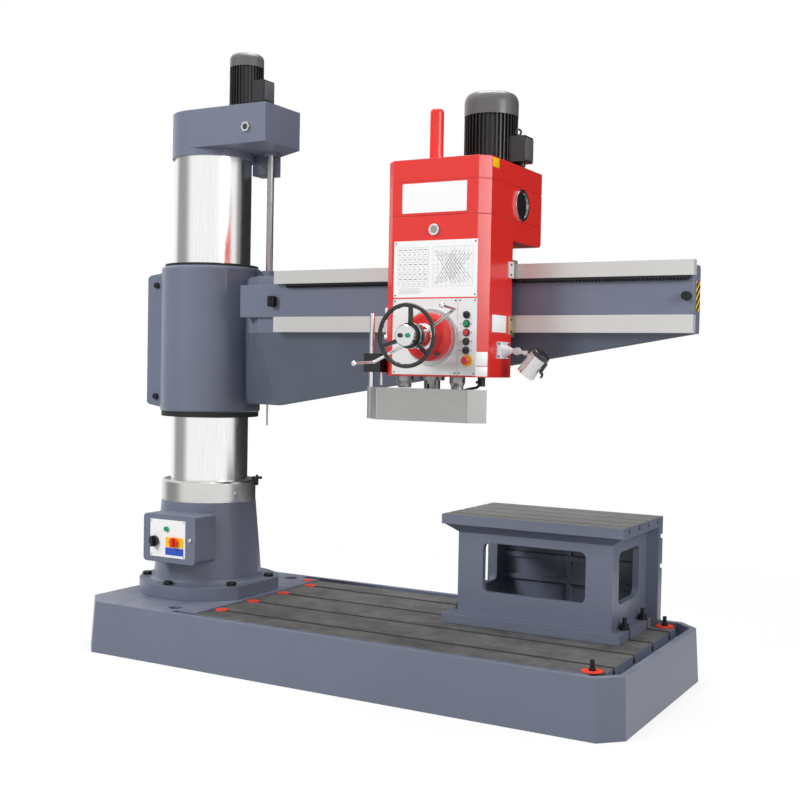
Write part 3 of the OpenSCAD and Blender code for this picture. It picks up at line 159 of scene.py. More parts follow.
# %% Relief
def make_relief():
    """A bumped normal, and the noise value it comes from."""
    tree, src, out = group("Relief", [("Normal", "v", None), ("Stretch", "v", (1, 1, 1)),
                                      ("Scale", "f", 60.0), ("Depth", "f", 0.1)],
                           [("Normal", "v"), ("Value", "f")])
    place = add(tree, "VectorMath", {0: own_place(tree), 1: src.outputs["Stretch"]},
                operation="MULTIPLY").outputs[0]
    value = noise(tree, place, src.outputs["Scale"], 3.0)
    height = 0.002
    bump = add(tree, "Bump", {"Strength": src.outputs["Depth"], "Distance": height, "Height": value,
                              "Normal": src.outputs["Normal"]})
    tree.links.new(bump.outputs[0], out.inputs["Normal"])
    tree.links.new(value, out.inputs["Value"])
    return tree


RELIEF = make_relief()
print("group:", RELIEF.name)


# %% [markdown]
# ### Drift
# No large painted face has quite one tone. A slow noise that shifts the brightness a little keeps it from looking
# like plastic. It is milder than a stain texture and needs no picture file.

# %% Drift
def make_drift():
    """The colour with its brightness shifted slowly from place to place."""
    tree, src, out = group("Drift", [("Color", "c", None), ("Amount", "f", 0.1), ("Scale", "f", 2.5)],
                           [("Color", "c")])
    value = noise(tree, own_place(tree), src.outputs["Scale"], 5.0)
    shift = calc(tree, "MULTIPLY", calc(tree, "SUBTRACT", value, 0.5), src.outputs["Amount"])
    tone = add(tree, "HueSaturation", {"Color": src.outputs["Color"], "Value": calc(tree, "ADD", shift, 1.0)})
    tree.links.new(tone.outputs[0], out.inputs["Color"])
    return tree


DRIFT = make_drift()
print("group:", DRIFT.name)


# %% [markdown]
# ### Zone
# A casting is often painted in one region and machined bright in another. The mesh could be split there, but then it
# wouldn't be one casting. A mask that is 1 inside a box leaves the mesh whole.

# %% Zone
def make_zone():
    """A mask that is 1 inside a box in the object's own space."""
    tree, src, out = group("Zone", [("Low", "v", (0, 0, 0)), ("High", "v", (1, 1, 1))], [("Inside", "f")])
    axes = add(tree, "SeparateXYZ", {0: own_place(tree)}).outputs
    low = add(tree, "SeparateXYZ", {0: src.outputs["Low"]}).outputs
    high = add(tree, "SeparateXYZ", {0: src.outputs["High"]}).outputs
    inside = None
    for i in range(3):
        for test in (calc(tree, "GREATER_THAN", axes[i], low[i]), calc(tree, "LESS_THAN", axes[i], high[i])):
            inside = test if inside is None else calc(tree, "MULTIPLY", inside, test)
    tree.links.new(inside, out.inputs["Inside"])
    return tree


ZONE = make_zone()
print("group:", ZONE.name)


# %% [markdown]
# ### Dust
# Dust settles on faces that look up. The normal's upward share gives those faces, and noise breaks the layer up.

# %% Dust
def make_dust():
    """The colour with pale dust on the faces that look up."""
    tree, src, out = group("Dust", [("Color", "c", None), ("Amount", "f", 0.2)], [("Color", "c")])
    up = add(tree, "SeparateXYZ", {0: add(tree, "NewGeometry").outputs["Normal"]}).outputs[2]
    spots = noise(tree, own_place(tree), 9.0, 8.0, 0.7)
    level_from, spots_from, contrast = 0.6, 0.4, 8.0
    mask = calc(tree, "MULTIPLY", calc(tree, "SUBTRACT", up, level_from, True),
                calc(tree, "SUBTRACT", spots, spots_from, True))
    mask = calc(tree, "MULTIPLY", calc(tree, "MULTIPLY", mask, contrast, True), src.outputs["Amount"])
    tree.links.new(mix(tree, mask, src.outputs["Color"], rgb(178, 176, 172)), out.inputs["Color"])
    return tree


DUST = make_dust()
print("group:", DUST.name)


# %% [markdown]
# ## Materials
# One Principled surface can be paint, metal or plastic, so a single builder makes all materials from it.
# Paint gets an orange-peel skin and paler worn edges, metal gets fine lines along its working direction, and plastics
# stay smooth.

# %% Material builder
def use(tree, effect, ins):
    """The outputs of an effect's group node with its sockets filled or linked."""
    return add(tree, "Group", ins, node_tree=effect).outputs


def surface(name, color, rough, metal=0.0, coat=0.0, soft=0.003, wear=0.0, worn=None, grain=(1, 1, 1),
            scale=60.0, depth=0.08, streak=0.0, drift=0.1, dust=0.0, zones=()):
    """A material with soft edges, relief, drift and dust. Zones are (low, high, colour, metal, roughness).

    A zone's colour may also be a function that makes the colour in the material's own tree.
    """
    mat = bpy.data.materials.new(name)
    mat.use_nodes = True
    tree = mat.node_tree
    shader = tree.nodes["Principled BSDF"]
    edge = use(tree, EDGES, {"Width": soft, "Wear": wear})
    relief = use(tree, RELIEF, {"Normal": edge["Normal"], "Stretch": grain, "Scale": scale, "Depth": depth})
    tone = use(tree, DRIFT, {"Color": color, "Amount": drift})["Color"]
    if streak:
        line = calc(tree, "MULTIPLY", calc(tree, "SUBTRACT", relief["Value"], 0.5), streak)
        tone = add(tree, "HueSaturation", {"Color": tone, "Value": calc(tree, "ADD", line, 1.0)}).outputs[0]
    if wear:
        tone = mix(tree, edge["Edge"], tone, worn or rgb(150, 154, 165))
    finish = {"Metallic": metal, "Roughness": rough}
    for low, high, zone_color, zone_metal, zone_rough in zones:
        inside = use(tree, ZONE, {"Low": low, "High": high})["Inside"]
        if callable(zone_color):
            zone_color = zone_color(tree)
        zoned = use(tree, DRIFT, {"Color": zone_color, "Amount": 0.35, "Scale": 7.0})["Color"]
        tone = mix(tree, inside, tone, zoned)
        for key, value in (("Metallic", zone_metal), ("Roughness", zone_rough)):
            finish[key] = add(tree, "Mix", {0: inside, 2: finish[key], 3: value}).outputs[0]
    if dust:
        tone = use(tree, DUST, {"Color": tone, "Amount": dust})["Color"]
    finish.update({"Base Color": tone, "Normal": relief["Normal"], "Coat Weight": coat, "Coat Roughness": 0.12})
    for key, value in finish.items():
        feed(tree, shader.inputs[key], value)
    return mat


print("builder ready")


# %% [markdown]
# ### Machined zones and warning tape
# The base's deck and the table's top and back are planed and stay bare, while the rest of the castings is
# painted. The zones stop a little before the edges, so that the rims keep their paint.
# The arm ends in a striped warning tape. A strip of mesh would stand out of the part's box, so it is a zone too, and
# its colour is made from slanting stripes.

# %% Zones of the base, the table and the arm's end
SLATE = rgb(108, 114, 133)
IRON = rgb(74, 74, 73)
DECK_Z = 0.2141
MACHINED = [((0.3115, -0.4665, 0.150), (2.0845, 0.4665, DECK_Z), IRON, 0.15, 0.6)]
TABLE_LEFT, TABLE_RIGHT = (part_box("work_table")[k][0] - 0.002 * (2 * k - 1) for k in (0, 1))
TABLE_BACK, TABLE_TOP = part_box("work_table")[1][1:]
TABLE = [((TABLE_LEFT, -0.013, TABLE_TOP - 0.0275), (TABLE_RIGHT, TABLE_BACK - 0.001, TABLE_TOP + 0.001),
          rgb(128, 128, 127), 0.35, 0.45),
         ((TABLE_LEFT, TABLE_BACK - 0.0265, 0.22), (TABLE_RIGHT, TABLE_BACK + 0.001, TABLE_TOP - 0.004),
          rgb(120, 120, 119), 0.35, 0.45)]


def warning_tape(tree):
    """Black and yellow stripes that slant across the end of the arm."""
    spot = add(tree, "SeparateXYZ", {0: own_place(tree)}).outputs
    slant, pitch, black_share = math.radians(38), 0.0236, 0.45
    across = calc(tree, "SUBTRACT", calc(tree, "MULTIPLY", spot["Z"], math.cos(slant)),
                  calc(tree, "MULTIPLY", spot["Y"], math.sin(slant)))
    part = calc(tree, "FRACT", calc(tree, "DIVIDE", across, pitch))
    return mix(tree, calc(tree, "GREATER_THAN", part, black_share), rgb(250, 200, 20), rgb(26, 26, 28))


print("table zones:", len(TABLE), "table top at", round(TABLE_TOP, 4))

# %% [markdown]
# ### Paints
# The castings are painted slate grey and the head red. Thick machine paint is glossy but uneven, so it gets a thin
# coat over a slightly rough base. A car paint with a full coat would look too smooth here.

# %% Paints
M = {
    "base": surface("Slate paint on the base", SLATE, 0.42, coat=0.15, soft=0.006, wear=0.6, scale=70,
                    depth=0.3, drift=0.2, dust=0.25, zones=MACHINED),
    "table": surface("Slate paint on the table", SLATE, 0.42, coat=0.15, soft=0.004, wear=0.5, scale=80,
                     depth=0.25, drift=0.16, zones=TABLE),
    "paint": surface("Slate paint", SLATE, 0.40, coat=0.18, soft=0.005, wear=0.4, scale=90, depth=0.2,
                     drift=0.12, dust=0.15),
    "red": surface("Red paint", rgb(228, 44, 38), 0.30, coat=0.35, soft=0.006, wear=0.1,
                   worn=rgb(240, 120, 110), scale=110, depth=0.05, drift=0.08),
    "motor": surface("Motor paint", rgb(37, 38, 40), 0.38, coat=0.1, soft=0.0015, wear=0.3,
                     worn=rgb(110, 112, 115), scale=200, depth=0.12),
    "cowl": surface("Cowl paint", rgb(92, 93, 95), 0.36, coat=0.15, soft=0.003, wear=0.3,
                    worn=rgb(130, 132, 135), scale=200, depth=0.12),
    "white": surface("White enamelled plate", rgb(251, 252, 252), 0.35, coat=0.1, soft=0.0008, scale=90,
                     depth=0.02, drift=0.03),
    "bracket": surface("Pale bracket paint", rgb(222, 223, 224), 0.4, coat=0.1, soft=0.002, scale=160,
                       depth=0.06),
}
print("paints:", len(M))

# %% [markdown]
# ### Metals
# The column is ground, the ring and the quill are turned, the guard is brushed. Each way of working leaves lines in
# one direction, so `grain` stretches the noise along it and `streak` lets the lines show in the colour too.
# An anisotropic shader could do this, but stretched noise also works on meshes without tangents.

# %% Metals
M.update({
    "column": surface("Ground column steel", rgb(244, 244, 243), 0.22, metal=1.0, soft=0.002,
                      grain=(24, 24, 1), scale=8, depth=0.05, streak=0.22, drift=0.08),
    "screw": surface("Rolled screw steel", rgb(158, 159, 160), 0.3, metal=1.0, soft=0.001, grain=(1, 1, 90),
                     scale=4, depth=0.3, streak=0.5),
    "ring": surface("Turned ring steel", rgb(214, 214, 212), 0.26, metal=1.0, soft=0.003, grain=(1, 1, 40),
                    scale=14, depth=0.08, streak=0.25),
    "guide": surface("Ground guideways", rgb(205, 205, 203), 0.42, metal=0.35, soft=0.0015,
                     grain=(2, 60, 60), scale=9, depth=0.05, streak=0.12),
    "bright": surface("Polished steel", rgb(222, 223, 224), 0.14, metal=1.0, soft=0.0012, grain=(6, 6, 6),
                      scale=30, depth=0.03),
    "steel": surface("Turned steel", rgb(160, 161, 162), 0.32, metal=0.9, soft=0.001, grain=(1, 1, 30),
                     scale=20, depth=0.06, streak=0.2),
    "dark": surface("Blackened steel", rgb(40, 41, 43), 0.38, metal=0.6, soft=0.001, wear=0.4,
                    worn=rgb(120, 120, 118), scale=180, depth=0.1),
    "guard": surface("Brushed guard sheet", rgb(174, 174, 172), 0.36, metal=0.75, soft=0.0006,
                     grain=(2, 2, 90), scale=7, depth=0.05, streak=0.25, drift=0.12),
    "bronze": surface("Bronze pad", rgb(186, 170, 132), 0.42, metal=0.7, soft=0.0012, grain=(2, 2, 40),
                      scale=14, depth=0.08),
    "lamp": surface("Polished lamp alloy", rgb(220, 221, 222), 0.2, metal=0.9, soft=0.001, scale=40,
                    depth=0.03),
})
print("paints and metals:", len(M))

# %% [markdown]
# ### Plastics, glass and prints
# Knobs and buttons are moulded plastic with a soft shine. Sights and the lamp's lens are glass over something dark
# or pale. An opaque glossy surface stands for it, because clear glass would show solids with nothing inside.
# Prints are thin matt ink.

# %% Plastics, glass and prints
M.update({
    "cap_red": surface("Orange red plastic", rgb(232, 66, 40), 0.42, soft=0.0015, scale=300, depth=0.05),
    "black": surface("Black plastic", rgb(22, 22, 24), 0.28, coat=0.3, soft=0.0015, scale=260, depth=0.05),
    "rubber": surface("Black rubber", rgb(30, 31, 33), 0.65, soft=0.001, scale=300, depth=0.15),
    "green": surface("Green plastic", rgb(20, 140, 92), 0.25, coat=0.4, soft=0.001, scale=200, depth=0.03),
    "signal": surface("Signal red plastic", rgb(214, 40, 34), 0.28, coat=0.4, soft=0.001, scale=200,
                      depth=0.03),
    "orange": surface("Orange grip", rgb(236, 62, 24), 0.3, coat=0.3, soft=0.001, scale=200, depth=0.03),
    "yellow": surface("Yellow plastic", rgb(250, 200, 20), 0.35, soft=0.0008, scale=200, depth=0.03,
                      drift=0.05),
    "ink": surface("Printed lines", rgb(186, 188, 192), 0.6, soft=0.0003, scale=200, depth=0.02),
    "dark_ink": surface("Dark print", rgb(60, 62, 66), 0.6, soft=0.0003, scale=200, depth=0.02),
    "red_ink": surface("Red print", rgb(214, 60, 52), 0.6, soft=0.0003, scale=200, depth=0.02),
    "glass": surface("Dark sight glass", rgb(26, 27, 28), 0.06, coat=1.0, soft=0.0008, scale=30, depth=0.01),
    "oil": surface("Oil behind glass", rgb(150, 148, 140), 0.1, coat=1.0, soft=0.0008, scale=40, depth=0.02),
    "lens": surface("Lamp lens", rgb(238, 238, 230), 0.12, coat=1.0, soft=0.0008, scale=160, depth=0.3),
})
print("materials:", len(M))

# %% [markdown]
# ### Every node gets its material
# On the real machine each casting, bar or knob has one finish. Materials could be dropped on one object after the
# other, but a table that lists the nodes under each finish is easier to read and to change.

# %% Paint the model's nodes
PAINT = {
    "base": ["base_casting"],
    "table": ["work_table"],
    "paint": ["pedestal", "control_box", "top_cap", "lift_nut"],
    "red": ["head_body", "gearbox_housing", "spindle_cover"],
    "motor": ["lift_motor", "main_motor"],
    "cowl": ["lift_motor_cowl", "main_motor_cowl"],
    "column": ["column_sleeve"],
    "ring": ["clamp_ring"],
    "screw": ["lift_screw"],
    "guide": ["guideways"],
    "bright": ["cap_plug", "oil_sights", "hub_cap", "feed_levers", "guard_post", "column_bearings"],
    "steel": ["inner_column", "quill", "spindle", "pinion_shaft", "traverse_pinion", "speed_knob", "feed_knob"],
    "dark": ["clamp_studs", "pedestal_bolts", "hub_clamp_bolts", "travel_stops", "traverse_rack", "coolant_pipe"],
    "guard": ["guard_sheet"],
    "cap_red": ["slot_caps"],
    "black": ["pump_switch", "handwheel", "release_button", "mode_selector", "raise_button", "lower_button"],
    "rubber": ["hub_wipers"],
    "white": ["front_plates", "spindle_lever"],
    "green": ["clamp_button", "start_button"],
    "signal": ["stop_button", "emergency_stop"],
    "orange": ["main_switch"],
    "bronze": ["head_keepers"],
    "lamp": ["lamp_head"],
    "bracket": ["lamp_arm"],
}


def give(obj, mat):
    """Puts one material on an object."""
    obj.data.materials.clear()
    obj.data.materials.append(mat)


done = 0
for key, names in PAINT.items():
    for name in names:
        give(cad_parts[name], M[key])
        done += 1
print("painted nodes:", done)
# %% [markdown]
# ### Nodes with two finishes, and painted shade on the arm
# The arm's web below its band is painted a darker slate as painted shade, for the shade that falls under the beam.
# The clamp bracket is black and its lamp side pale, and the feed drum ends in a bright graduated ring. Each is one
# piece on the machine, so it gets a material of its own with zones.
# An open zone reaches far past the machine on the sides that don't matter.

# %% Arm
FAR = 9.0


def behind(y, color, metal, rough):
    """A zone that holds everything with a depth beyond y, away from the operator."""
    return ((-FAR, y, -FAR), (FAR, FAR, FAR), color, metal, rough)


def right_of(x, color, metal, rough):
    """A zone that holds everything to the right of x."""
    return ((x, -FAR, -FAR), (FAR, FAR, FAR), color, metal, rough)


arm_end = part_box("arm_casting")[1][0]
band_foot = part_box("guideways")[0][2]
give(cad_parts["arm_casting"], surface(
    "Slate paint on the arm, with painted shade on the web", SLATE, 0.40, coat=0.18, soft=0.005, wear=0.4, scale=90, depth=0.2, drift=0.15,
    dust=0.15, zones=[
        # Painted shade: right of the hub and below the band, the web gets a darker slate for the shade under the
        # beam.
        ((0.2285, -FAR, -FAR), (FAR, FAR, band_foot - 0.001), rgb(84, 91, 108), 0.0, 0.42),
        ((arm_end - 0.001, -0.2125, 1.478), (arm_end + 0.001, -0.1655, 1.583), warning_tape, 0.0, 0.4)]))
print("arm ends at", round(arm_end, 4))

# %% [markdown]
# ### Plates with coloured fields
# The switch plate on the column's foot has a yellow and a blue field and a green lamp, and the head's panel has a
# yellow ring under the stop button. They are printed flat, so zones colour them and no mesh is added.

# %% Control plate and panel plate
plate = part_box("control_plate")
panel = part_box("panel_plate")
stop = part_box("emergency_stop")
FRONT = -0.348
give(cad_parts["control_plate"], surface(
    "Control plate", rgb(244, 245, 245), 0.35, soft=0.0008, scale=90, depth=0.02, drift=0.03, zones=[
        ((0.040, FRONT - 0.0020, 0.456), (0.143, FRONT - 0.0002, 0.504), rgb(250, 196, 30), 0.0, 0.35),
        ((0.040, FRONT - 0.0005, 0.423), (0.142, FRONT + 0.0010, 0.4555), rgb(44, 80, 190), 0.0, 0.4),
        ((0.035, FRONT - 0.0200, 0.524), (0.061, FRONT - 0.0005, 0.550), rgb(20, 150, 96), 0.0, 0.2)]))
stop_x, stop_z = (stop[0][0] + stop[1][0]) / 2, (stop[0][2] + stop[1][2]) / 2
ring_r = 0.022
give(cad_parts["panel_plate"], surface(
    "Panel plate", rgb(236, 237, 237), 0.34, soft=0.0008, scale=90, depth=0.02, drift=0.03, zones=[
        ((stop_x - ring_r, -0.504, stop_z - ring_r), (stop_x + ring_r, -0.5012, stop_z + ring_r),
         rgb(250, 200, 20), 0.0, 0.35),
        ((1.540, -0.506, 1.310), (1.580, -0.5012, 1.475), rgb(40, 40, 42), 0.0, 0.4)]))
print("stop button at", round(stop_x, 4), round(stop_z, 4))

# %% [markdown]
# ### Drum and brackets
# The drum is cast and painted red, and the ring behind it is turned bright to carry the graduations.
# The guard's clamp is black, its rod is bright and the lamp's bracket on the other side is pale.

# %% Feed drum and head brackets
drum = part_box("feed_drum")
give(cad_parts["feed_drum"], surface(
    "Drum and dial ring", rgb(206, 34, 31), 0.44, coat=0.08, soft=0.002, scale=120, depth=0.05, zones=[
        behind(drum[1][1] - 0.0082, rgb(206, 207, 207), 0.7, 0.3)]))
give(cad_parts["head_brackets"], surface(
    "Guard clamp and lamp bracket", rgb(26, 27, 29), 0.4, soft=0.002, scale=180, depth=0.08, zones=[
        right_of(1.5, rgb(222, 223, 224), 0.0, 0.4),
        ((1.0, -FAR, -FAR), (1.22, FAR, 1.2415), rgb(205, 206, 208), 0.9, 0.2)]))
print("drum from", round(drum[0][1], 4), "to", round(drum[1][1], 4))


# %% [markdown]
# ## Small trim
# Screws, labels and glasses are too small to be solids of their own, but they show in the picture.
# They could be modelled by hand. Boxes, rods and rings that are placed straight in the part's frame fit the solids
# exactly. Each piece is parented to an empty named after the body that carries it.
# The helper keeps the order of edges and points, because a Python set would shuffle them from run to run.

# %% Boxes
def put_box(bm, low, high, round_by=0.0, turn=None):
    """A box between two corners with softened edges, turned by a matrix if one is given."""
    low, high = Vector(low), Vector(high)
    made = bmesh.ops.create_cube(bm, size=1.0)["verts"]
    for v in made:
        v.co = Vector(low[i] + (v.co[i] + 0.5) * (high[i] - low[i]) for i in range(3))
    if round_by:
        edges = list(dict.fromkeys(e for v in made for e in v.link_edges))
        cut = bmesh.ops.bevel(bm, geom=edges, offset=round_by, segments=2, affect="EDGES", profile=0.5)
        made = list(dict.fromkeys([v for f in cut["faces"] for v in f.verts] + [v for v in made if v.is_valid]))
    if turn is not None:
        bmesh.ops.transform(bm, matrix=turn, verts=made)


print("box helper ready")


# %% [markdown]
# ### Rods and rings
# Covers, screws, glasses and glands are turned parts. A rod is built from rows of points round its axis, and a ring
# is a small rectangle that is carried round a circle. Blender's own cylinder would need its chamfers cut afterwards.

# %% Rods and rings
def put_rod(bm, a, b, r, r2=None, sides=32, chamfer=0.0):
    """A round bar from a to b, with chamfered ends if asked."""
    a, b = Vector(a), Vector(b)
    along = b - a
    r2 = r if r2 is None else r2
    steps = [(0.0, r - chamfer), (chamfer, r), (along.length - chamfer, r2), (along.length, r2 - chamfer)]
    if not chamfer:
        steps = [steps[0], steps[3]]
    turn = along.to_track_quat("Z", "Y").to_matrix()
    rows = [[bm.verts.new(a + turn @ Vector((radius * math.cos(t), radius * math.sin(t), h)))
             for t in (2 * math.pi * i / sides for i in range(sides))] for h, radius in steps]
    for low, high in zip(rows, rows[1:]):
        for i in range(sides):
            bm.faces.new((low[i], low[(i + 1) % sides], high[(i + 1) % sides], high[i]))
    bm.faces.new(list(reversed(rows[0])))
    bm.faces.new(rows[-1])


def put_ring(bm, centre, axis, r_out, r_in, thick, sides=48):
    """A flat ring standing on a plane, thick along its axis."""
    centre, axis = Vector(centre), Vector(axis).normalized()
    turn = axis.to_track_quat("Z", "Y").to_matrix()
    shape = ((r_in, 0.0), (r_out, 0.0), (r_out, thick), (r_in, thick))
    rows = [[bm.verts.new(centre + turn @ Vector((r * math.cos(t), r * math.sin(t), h))) for r, h in shape]
            for t in (2 * math.pi * i / sides for i in range(sides))]
    for i in range(sides):
        here, ahead = rows[i], rows[(i + 1) % sides]
        for k in range(4):
            bm.faces.new((here[k], ahead[k], ahead[(k + 1) % 4], here[(k + 1) % 4]))


print("rod and ring helpers ready")


# %% [markdown]
# ### Trim objects
# All pieces of one kind become one object, since a hundred screws as a hundred objects would be slow to handle.
# Smooth shading with sharp edges above 35 degrees keeps round parts round and flat ones flat.

# %% Trim builder
def show(name, mesh, mat, body):
    """An object for a mesh, with one material, riding on a body."""
    obj = bpy.data.objects.new(name, mesh)
    bpy.context.scene.collection.objects.link(obj)
    give(obj, M[mat])
    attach(obj, body)


def trim(name, mat, body, parts):
    """One trim object from a list of (helper, arguments) pairs, riding on a body."""
    bm = bmesh.new()
    for helper, *args in parts:
        helper(bm, *args)
    bmesh.ops.recalc_face_normals(bm, faces=bm.faces)
    mesh = bpy.data.meshes.new(name)
    bm.to_mesh(mesh)
    bm.free()
    for polygon in mesh.polygons:
        polygon.use_smooth = True
    mesh.set_sharp_from_angle(angle=math.radians(35))
    show(name, mesh, mat, body)


def screw(x, z, y, r=0.0035):
    """A domed screw head on a plate that faces the operator."""
    return [(put_rod, (x, y, z), (x, y - r * 0.5, z), r, r * 0.7, 16)]


print("trim builder ready")

# %% [markdown]
# ### Control box and column foot
# The box has a lock and four plate screws, a pointer reads the column's angle beside the clamp ring, and the four
# caps over the slots' ends have screwdriver slots. Thin dark bars stand for those slots: cutting them would need
# new solids.

# %% Trim on the base
box_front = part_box("control_box")[0][1]
trim("box_lock", "bright", "base", [
    (put_rod, (0.176, box_front + 0.001, 0.496), (0.176, box_front - 0.006, 0.496), 0.009, None, 32, 0.001),
    (put_box, (0.1745, box_front - 0.0066, 0.490), (0.1775, box_front - 0.0055, 0.502))])
trim("plate_screws", "dark", "base", sum(
    [screw(x, z, plate[0][1] + 0.0090, 0.003) for x in (plate[0][0] + 0.007, plate[1][0] - 0.007)
     for z in (plate[0][2] + 0.007, plate[1][2] - 0.007)], []))
ring_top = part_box("clamp_ring")[1][2]
turn = Matrix.Rotation(math.radians(29), 4, "Z")
trim("angle_pointer", "dark", "base", [
    (put_box, (0.197, -0.016, ring_top - 0.0005), (0.244, 0.016, ring_top + 0.010), 0.002, turn),
    (put_box, (0.2143, -0.010, ring_top - 0.030), (0.228, 0.010, ring_top - 0.0005), 0.002, turn),
    (put_rod, turn @ Vector((0.222, 0, ring_top + 0.009)), turn @ Vector((0.222, 0, ring_top + 0.018)), 0.006)])
cap_x, cap_top = 0.347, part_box("slot_caps")[1][2]
trim("cap_slots", "dark", "base", [
    (put_box, (cap_x - 0.011, y - 0.0015, cap_top - 0.0064), (cap_x + 0.011, y + 0.0015, cap_top - 0.0055))
    for y in (-0.3375, -0.1125, 0.1125, 0.3375)])
print("base trim ready, the ring's top at", round(ring_top, 4))

# %% [markdown]
# ### Lift motor
# The motor on the cap carries a terminal box. Its cover and the gland where a cable would enter are added pieces,
# because they have another colour than the motor.

# %% Trim on the column
low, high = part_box("lift_motor")
trim("lift_terminal_cover", "cowl", "column", [
    (put_box, (high[0] - 0.001, low[1] + 0.045, low[2] + 0.030),
     (high[0] + 0.004, high[1] - 0.048, low[2] + 0.112), 0.0015)])
gland_x, gland_y = high[0] - 0.024, low[1] + 0.082
trim("lift_terminal_gland", "dark", "column", [
    (put_rod, (gland_x, gland_y, low[2] + 0.024), (gland_x, gland_y, low[2] + 0.008), 0.011),
    (put_ring, (gland_x, gland_y, low[2] + 0.012), (0, 0, 1), 0.013, 0.010, 0.008)])
print("column trim ready")

# %% [markdown]
# ### Chart plate
# The real plate lists speeds in a table beside a graph. An image texture could show it, but this scene uses no
# picture files, so thin bars are laid on the plate. No words or figures are printed: short bars stand for them.

# %% Table and graph on the chart plate
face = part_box("front_plates")[0][1]
PRINT_Y = face - 0.0002
ink, dark_ink, red_ink = [], [], []


def line(store, x0, z0, x1, z1, w=0.0009, y=PRINT_Y):
    """A thin printed bar on a plate between two points."""
    a, b = Vector((x0, 0, z0)), Vector((x1, 0, z1))
    angle = math.atan2(z1 - z0, x1 - x0)
    turn = Matrix.Translation((x0, y, z0)) @ Matrix.Rotation(-angle, 4, "Y")
    store.append((put_box, (0, -0.0001, -w / 2), ((b - a).length, 0.0001, w / 2), 0.0, turn))


FOOT, HEAD = 1.560, 1.704
LEFT, RIGHT, ROW, COLUMN = 1.270, 1.398, 0.018, 0.0213
for i in range(9):
    line(ink, LEFT, FOOT + i * ROW, RIGHT, FOOT + i * ROW)
for i in range(7):
    line(ink, LEFT + i * COLUMN, FOOT, LEFT + i * COLUMN, HEAD)
for i in range(6):
    for j in range(8):
        x, z, width = 1.2745 + i * COLUMN, 1.569 + j * ROW, 0.006 + 0.003 * ((i * 3 + j * 5) % 3)
        line(red_ink if (i + j) % 5 == 0 else dark_ink, x, z, x + width, z, 0.0022)
GRAPH, GRAPH_END = 1.418, 1.580
for i in range(10):
    line(ink, GRAPH, FOOT + i * 0.016, GRAPH_END, FOOT + i * 0.016, 0.0006)
    line(ink, GRAPH + i * 0.018, FOOT, GRAPH + i * 0.018, HEAD, 0.0006)
for i in range(7):
    a, b, low, high = 1.424 + i * 0.012, 1.502 + i * 0.012, 1.566 + i * 0.003, 1.690 - i * 0.002
    line(dark_ink, a, low, b, high)
    line(dark_ink, a, high, b, low)
for i in range(5):
    line(ink, 1.275, 1.534 + i * 0.0045, 1.36 + 0.01 * (i % 3), 1.534 + i * 0.0045, 0.0012)
trim("chart_lines", "ink", "head", ink)
trim("chart_figures", "dark_ink", "head", dark_ink)
trim("chart_accents", "red_ink", "head", red_ink)
print("chart bars:", len(ink) + len(dark_ink) + len(red_ink))

# %% [markdown]
# ### Button marks and plate screws
# A small mark stands on each side of the four buttons. They lie on the panel, which is thicker than the chart plate,
# so they sit further forward. Every plate is held by a screw in each corner.

# %% Marks and screws on the head's front
marks, mark_y, button_zs = [], panel[0][1] + 0.0030 - 0.0002, (1.423, 1.391, 1.359, 1.327)
for z in button_zs:
    line(marks, 1.533, z, 1.539, z, 0.002, mark_y)
for z in button_zs:
    line(marks, 1.580, z - 0.004, 1.580, z + 0.004, 0.0018, mark_y)
trim("button_marks", "dark_ink", "head", marks)
inset, screws = 0.008, []
for x0, x1, z0, z1, y in ((1.253, 1.597, 1.520, 1.728, face), (1.253, 1.522, 1.236, 1.515, face - 0.001),
                          (1.5235, 1.599, 1.236, 1.515, face - 0.001)):
    for x in (x0 + inset, x1 - inset):
        for z in (z0 + inset, z1 - inset):
            screws += screw(x, z, y, 0.0032)
trim("front_screws", "dark", "head", screws)
print("marks:", len(marks), "screws:", len(screws))

# %% [markdown]
# ### Labels
# A yellow label and a pale one sit on the head's right side, and two stickers on its slanting corner. They carry
# nothing here. Each is a sheet 0.6 mm thick that lies on the paint. A face in the plane of the paint would flicker.

# %% Labels on the head's right side
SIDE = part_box("head_body")[1][0]
LABEL = 0.0006
trim("side_label", "yellow", "head", [
    (put_box, (SIDE, -0.457, 1.990), (SIDE + LABEL, -0.402, 2.024), 0.0002)])
trim("side_sticker", "white", "head", [
    (put_box, (SIDE, -0.436, 1.396), (SIDE + LABEL, -0.314, 1.459), 0.0002)])
facet = Matrix.Translation((1.6115, -0.4795, 0)) @ Matrix.Rotation(math.radians(45), 4, "Z")
trim("facet_stickers", "white", "head", [
    (put_box, (-0.0225, -LABEL, 1.272), (0.0225, 0.0000, 1.322), 0.0002, facet),
    (put_box, (-0.0225, -LABEL, 1.234), (0.0225, 0.0000, 1.269), 0.0002, facet)])
print("head's side at", round(SIDE, 4))

# %% [markdown]
# ### Sights and way wipers
# Oil is watched through round glasses, and a larger window sits in the gearbox's side. The glasses are thin discs in
# front of the solids' bezels. Wipers keep chips off the guideways where the head slides on them.

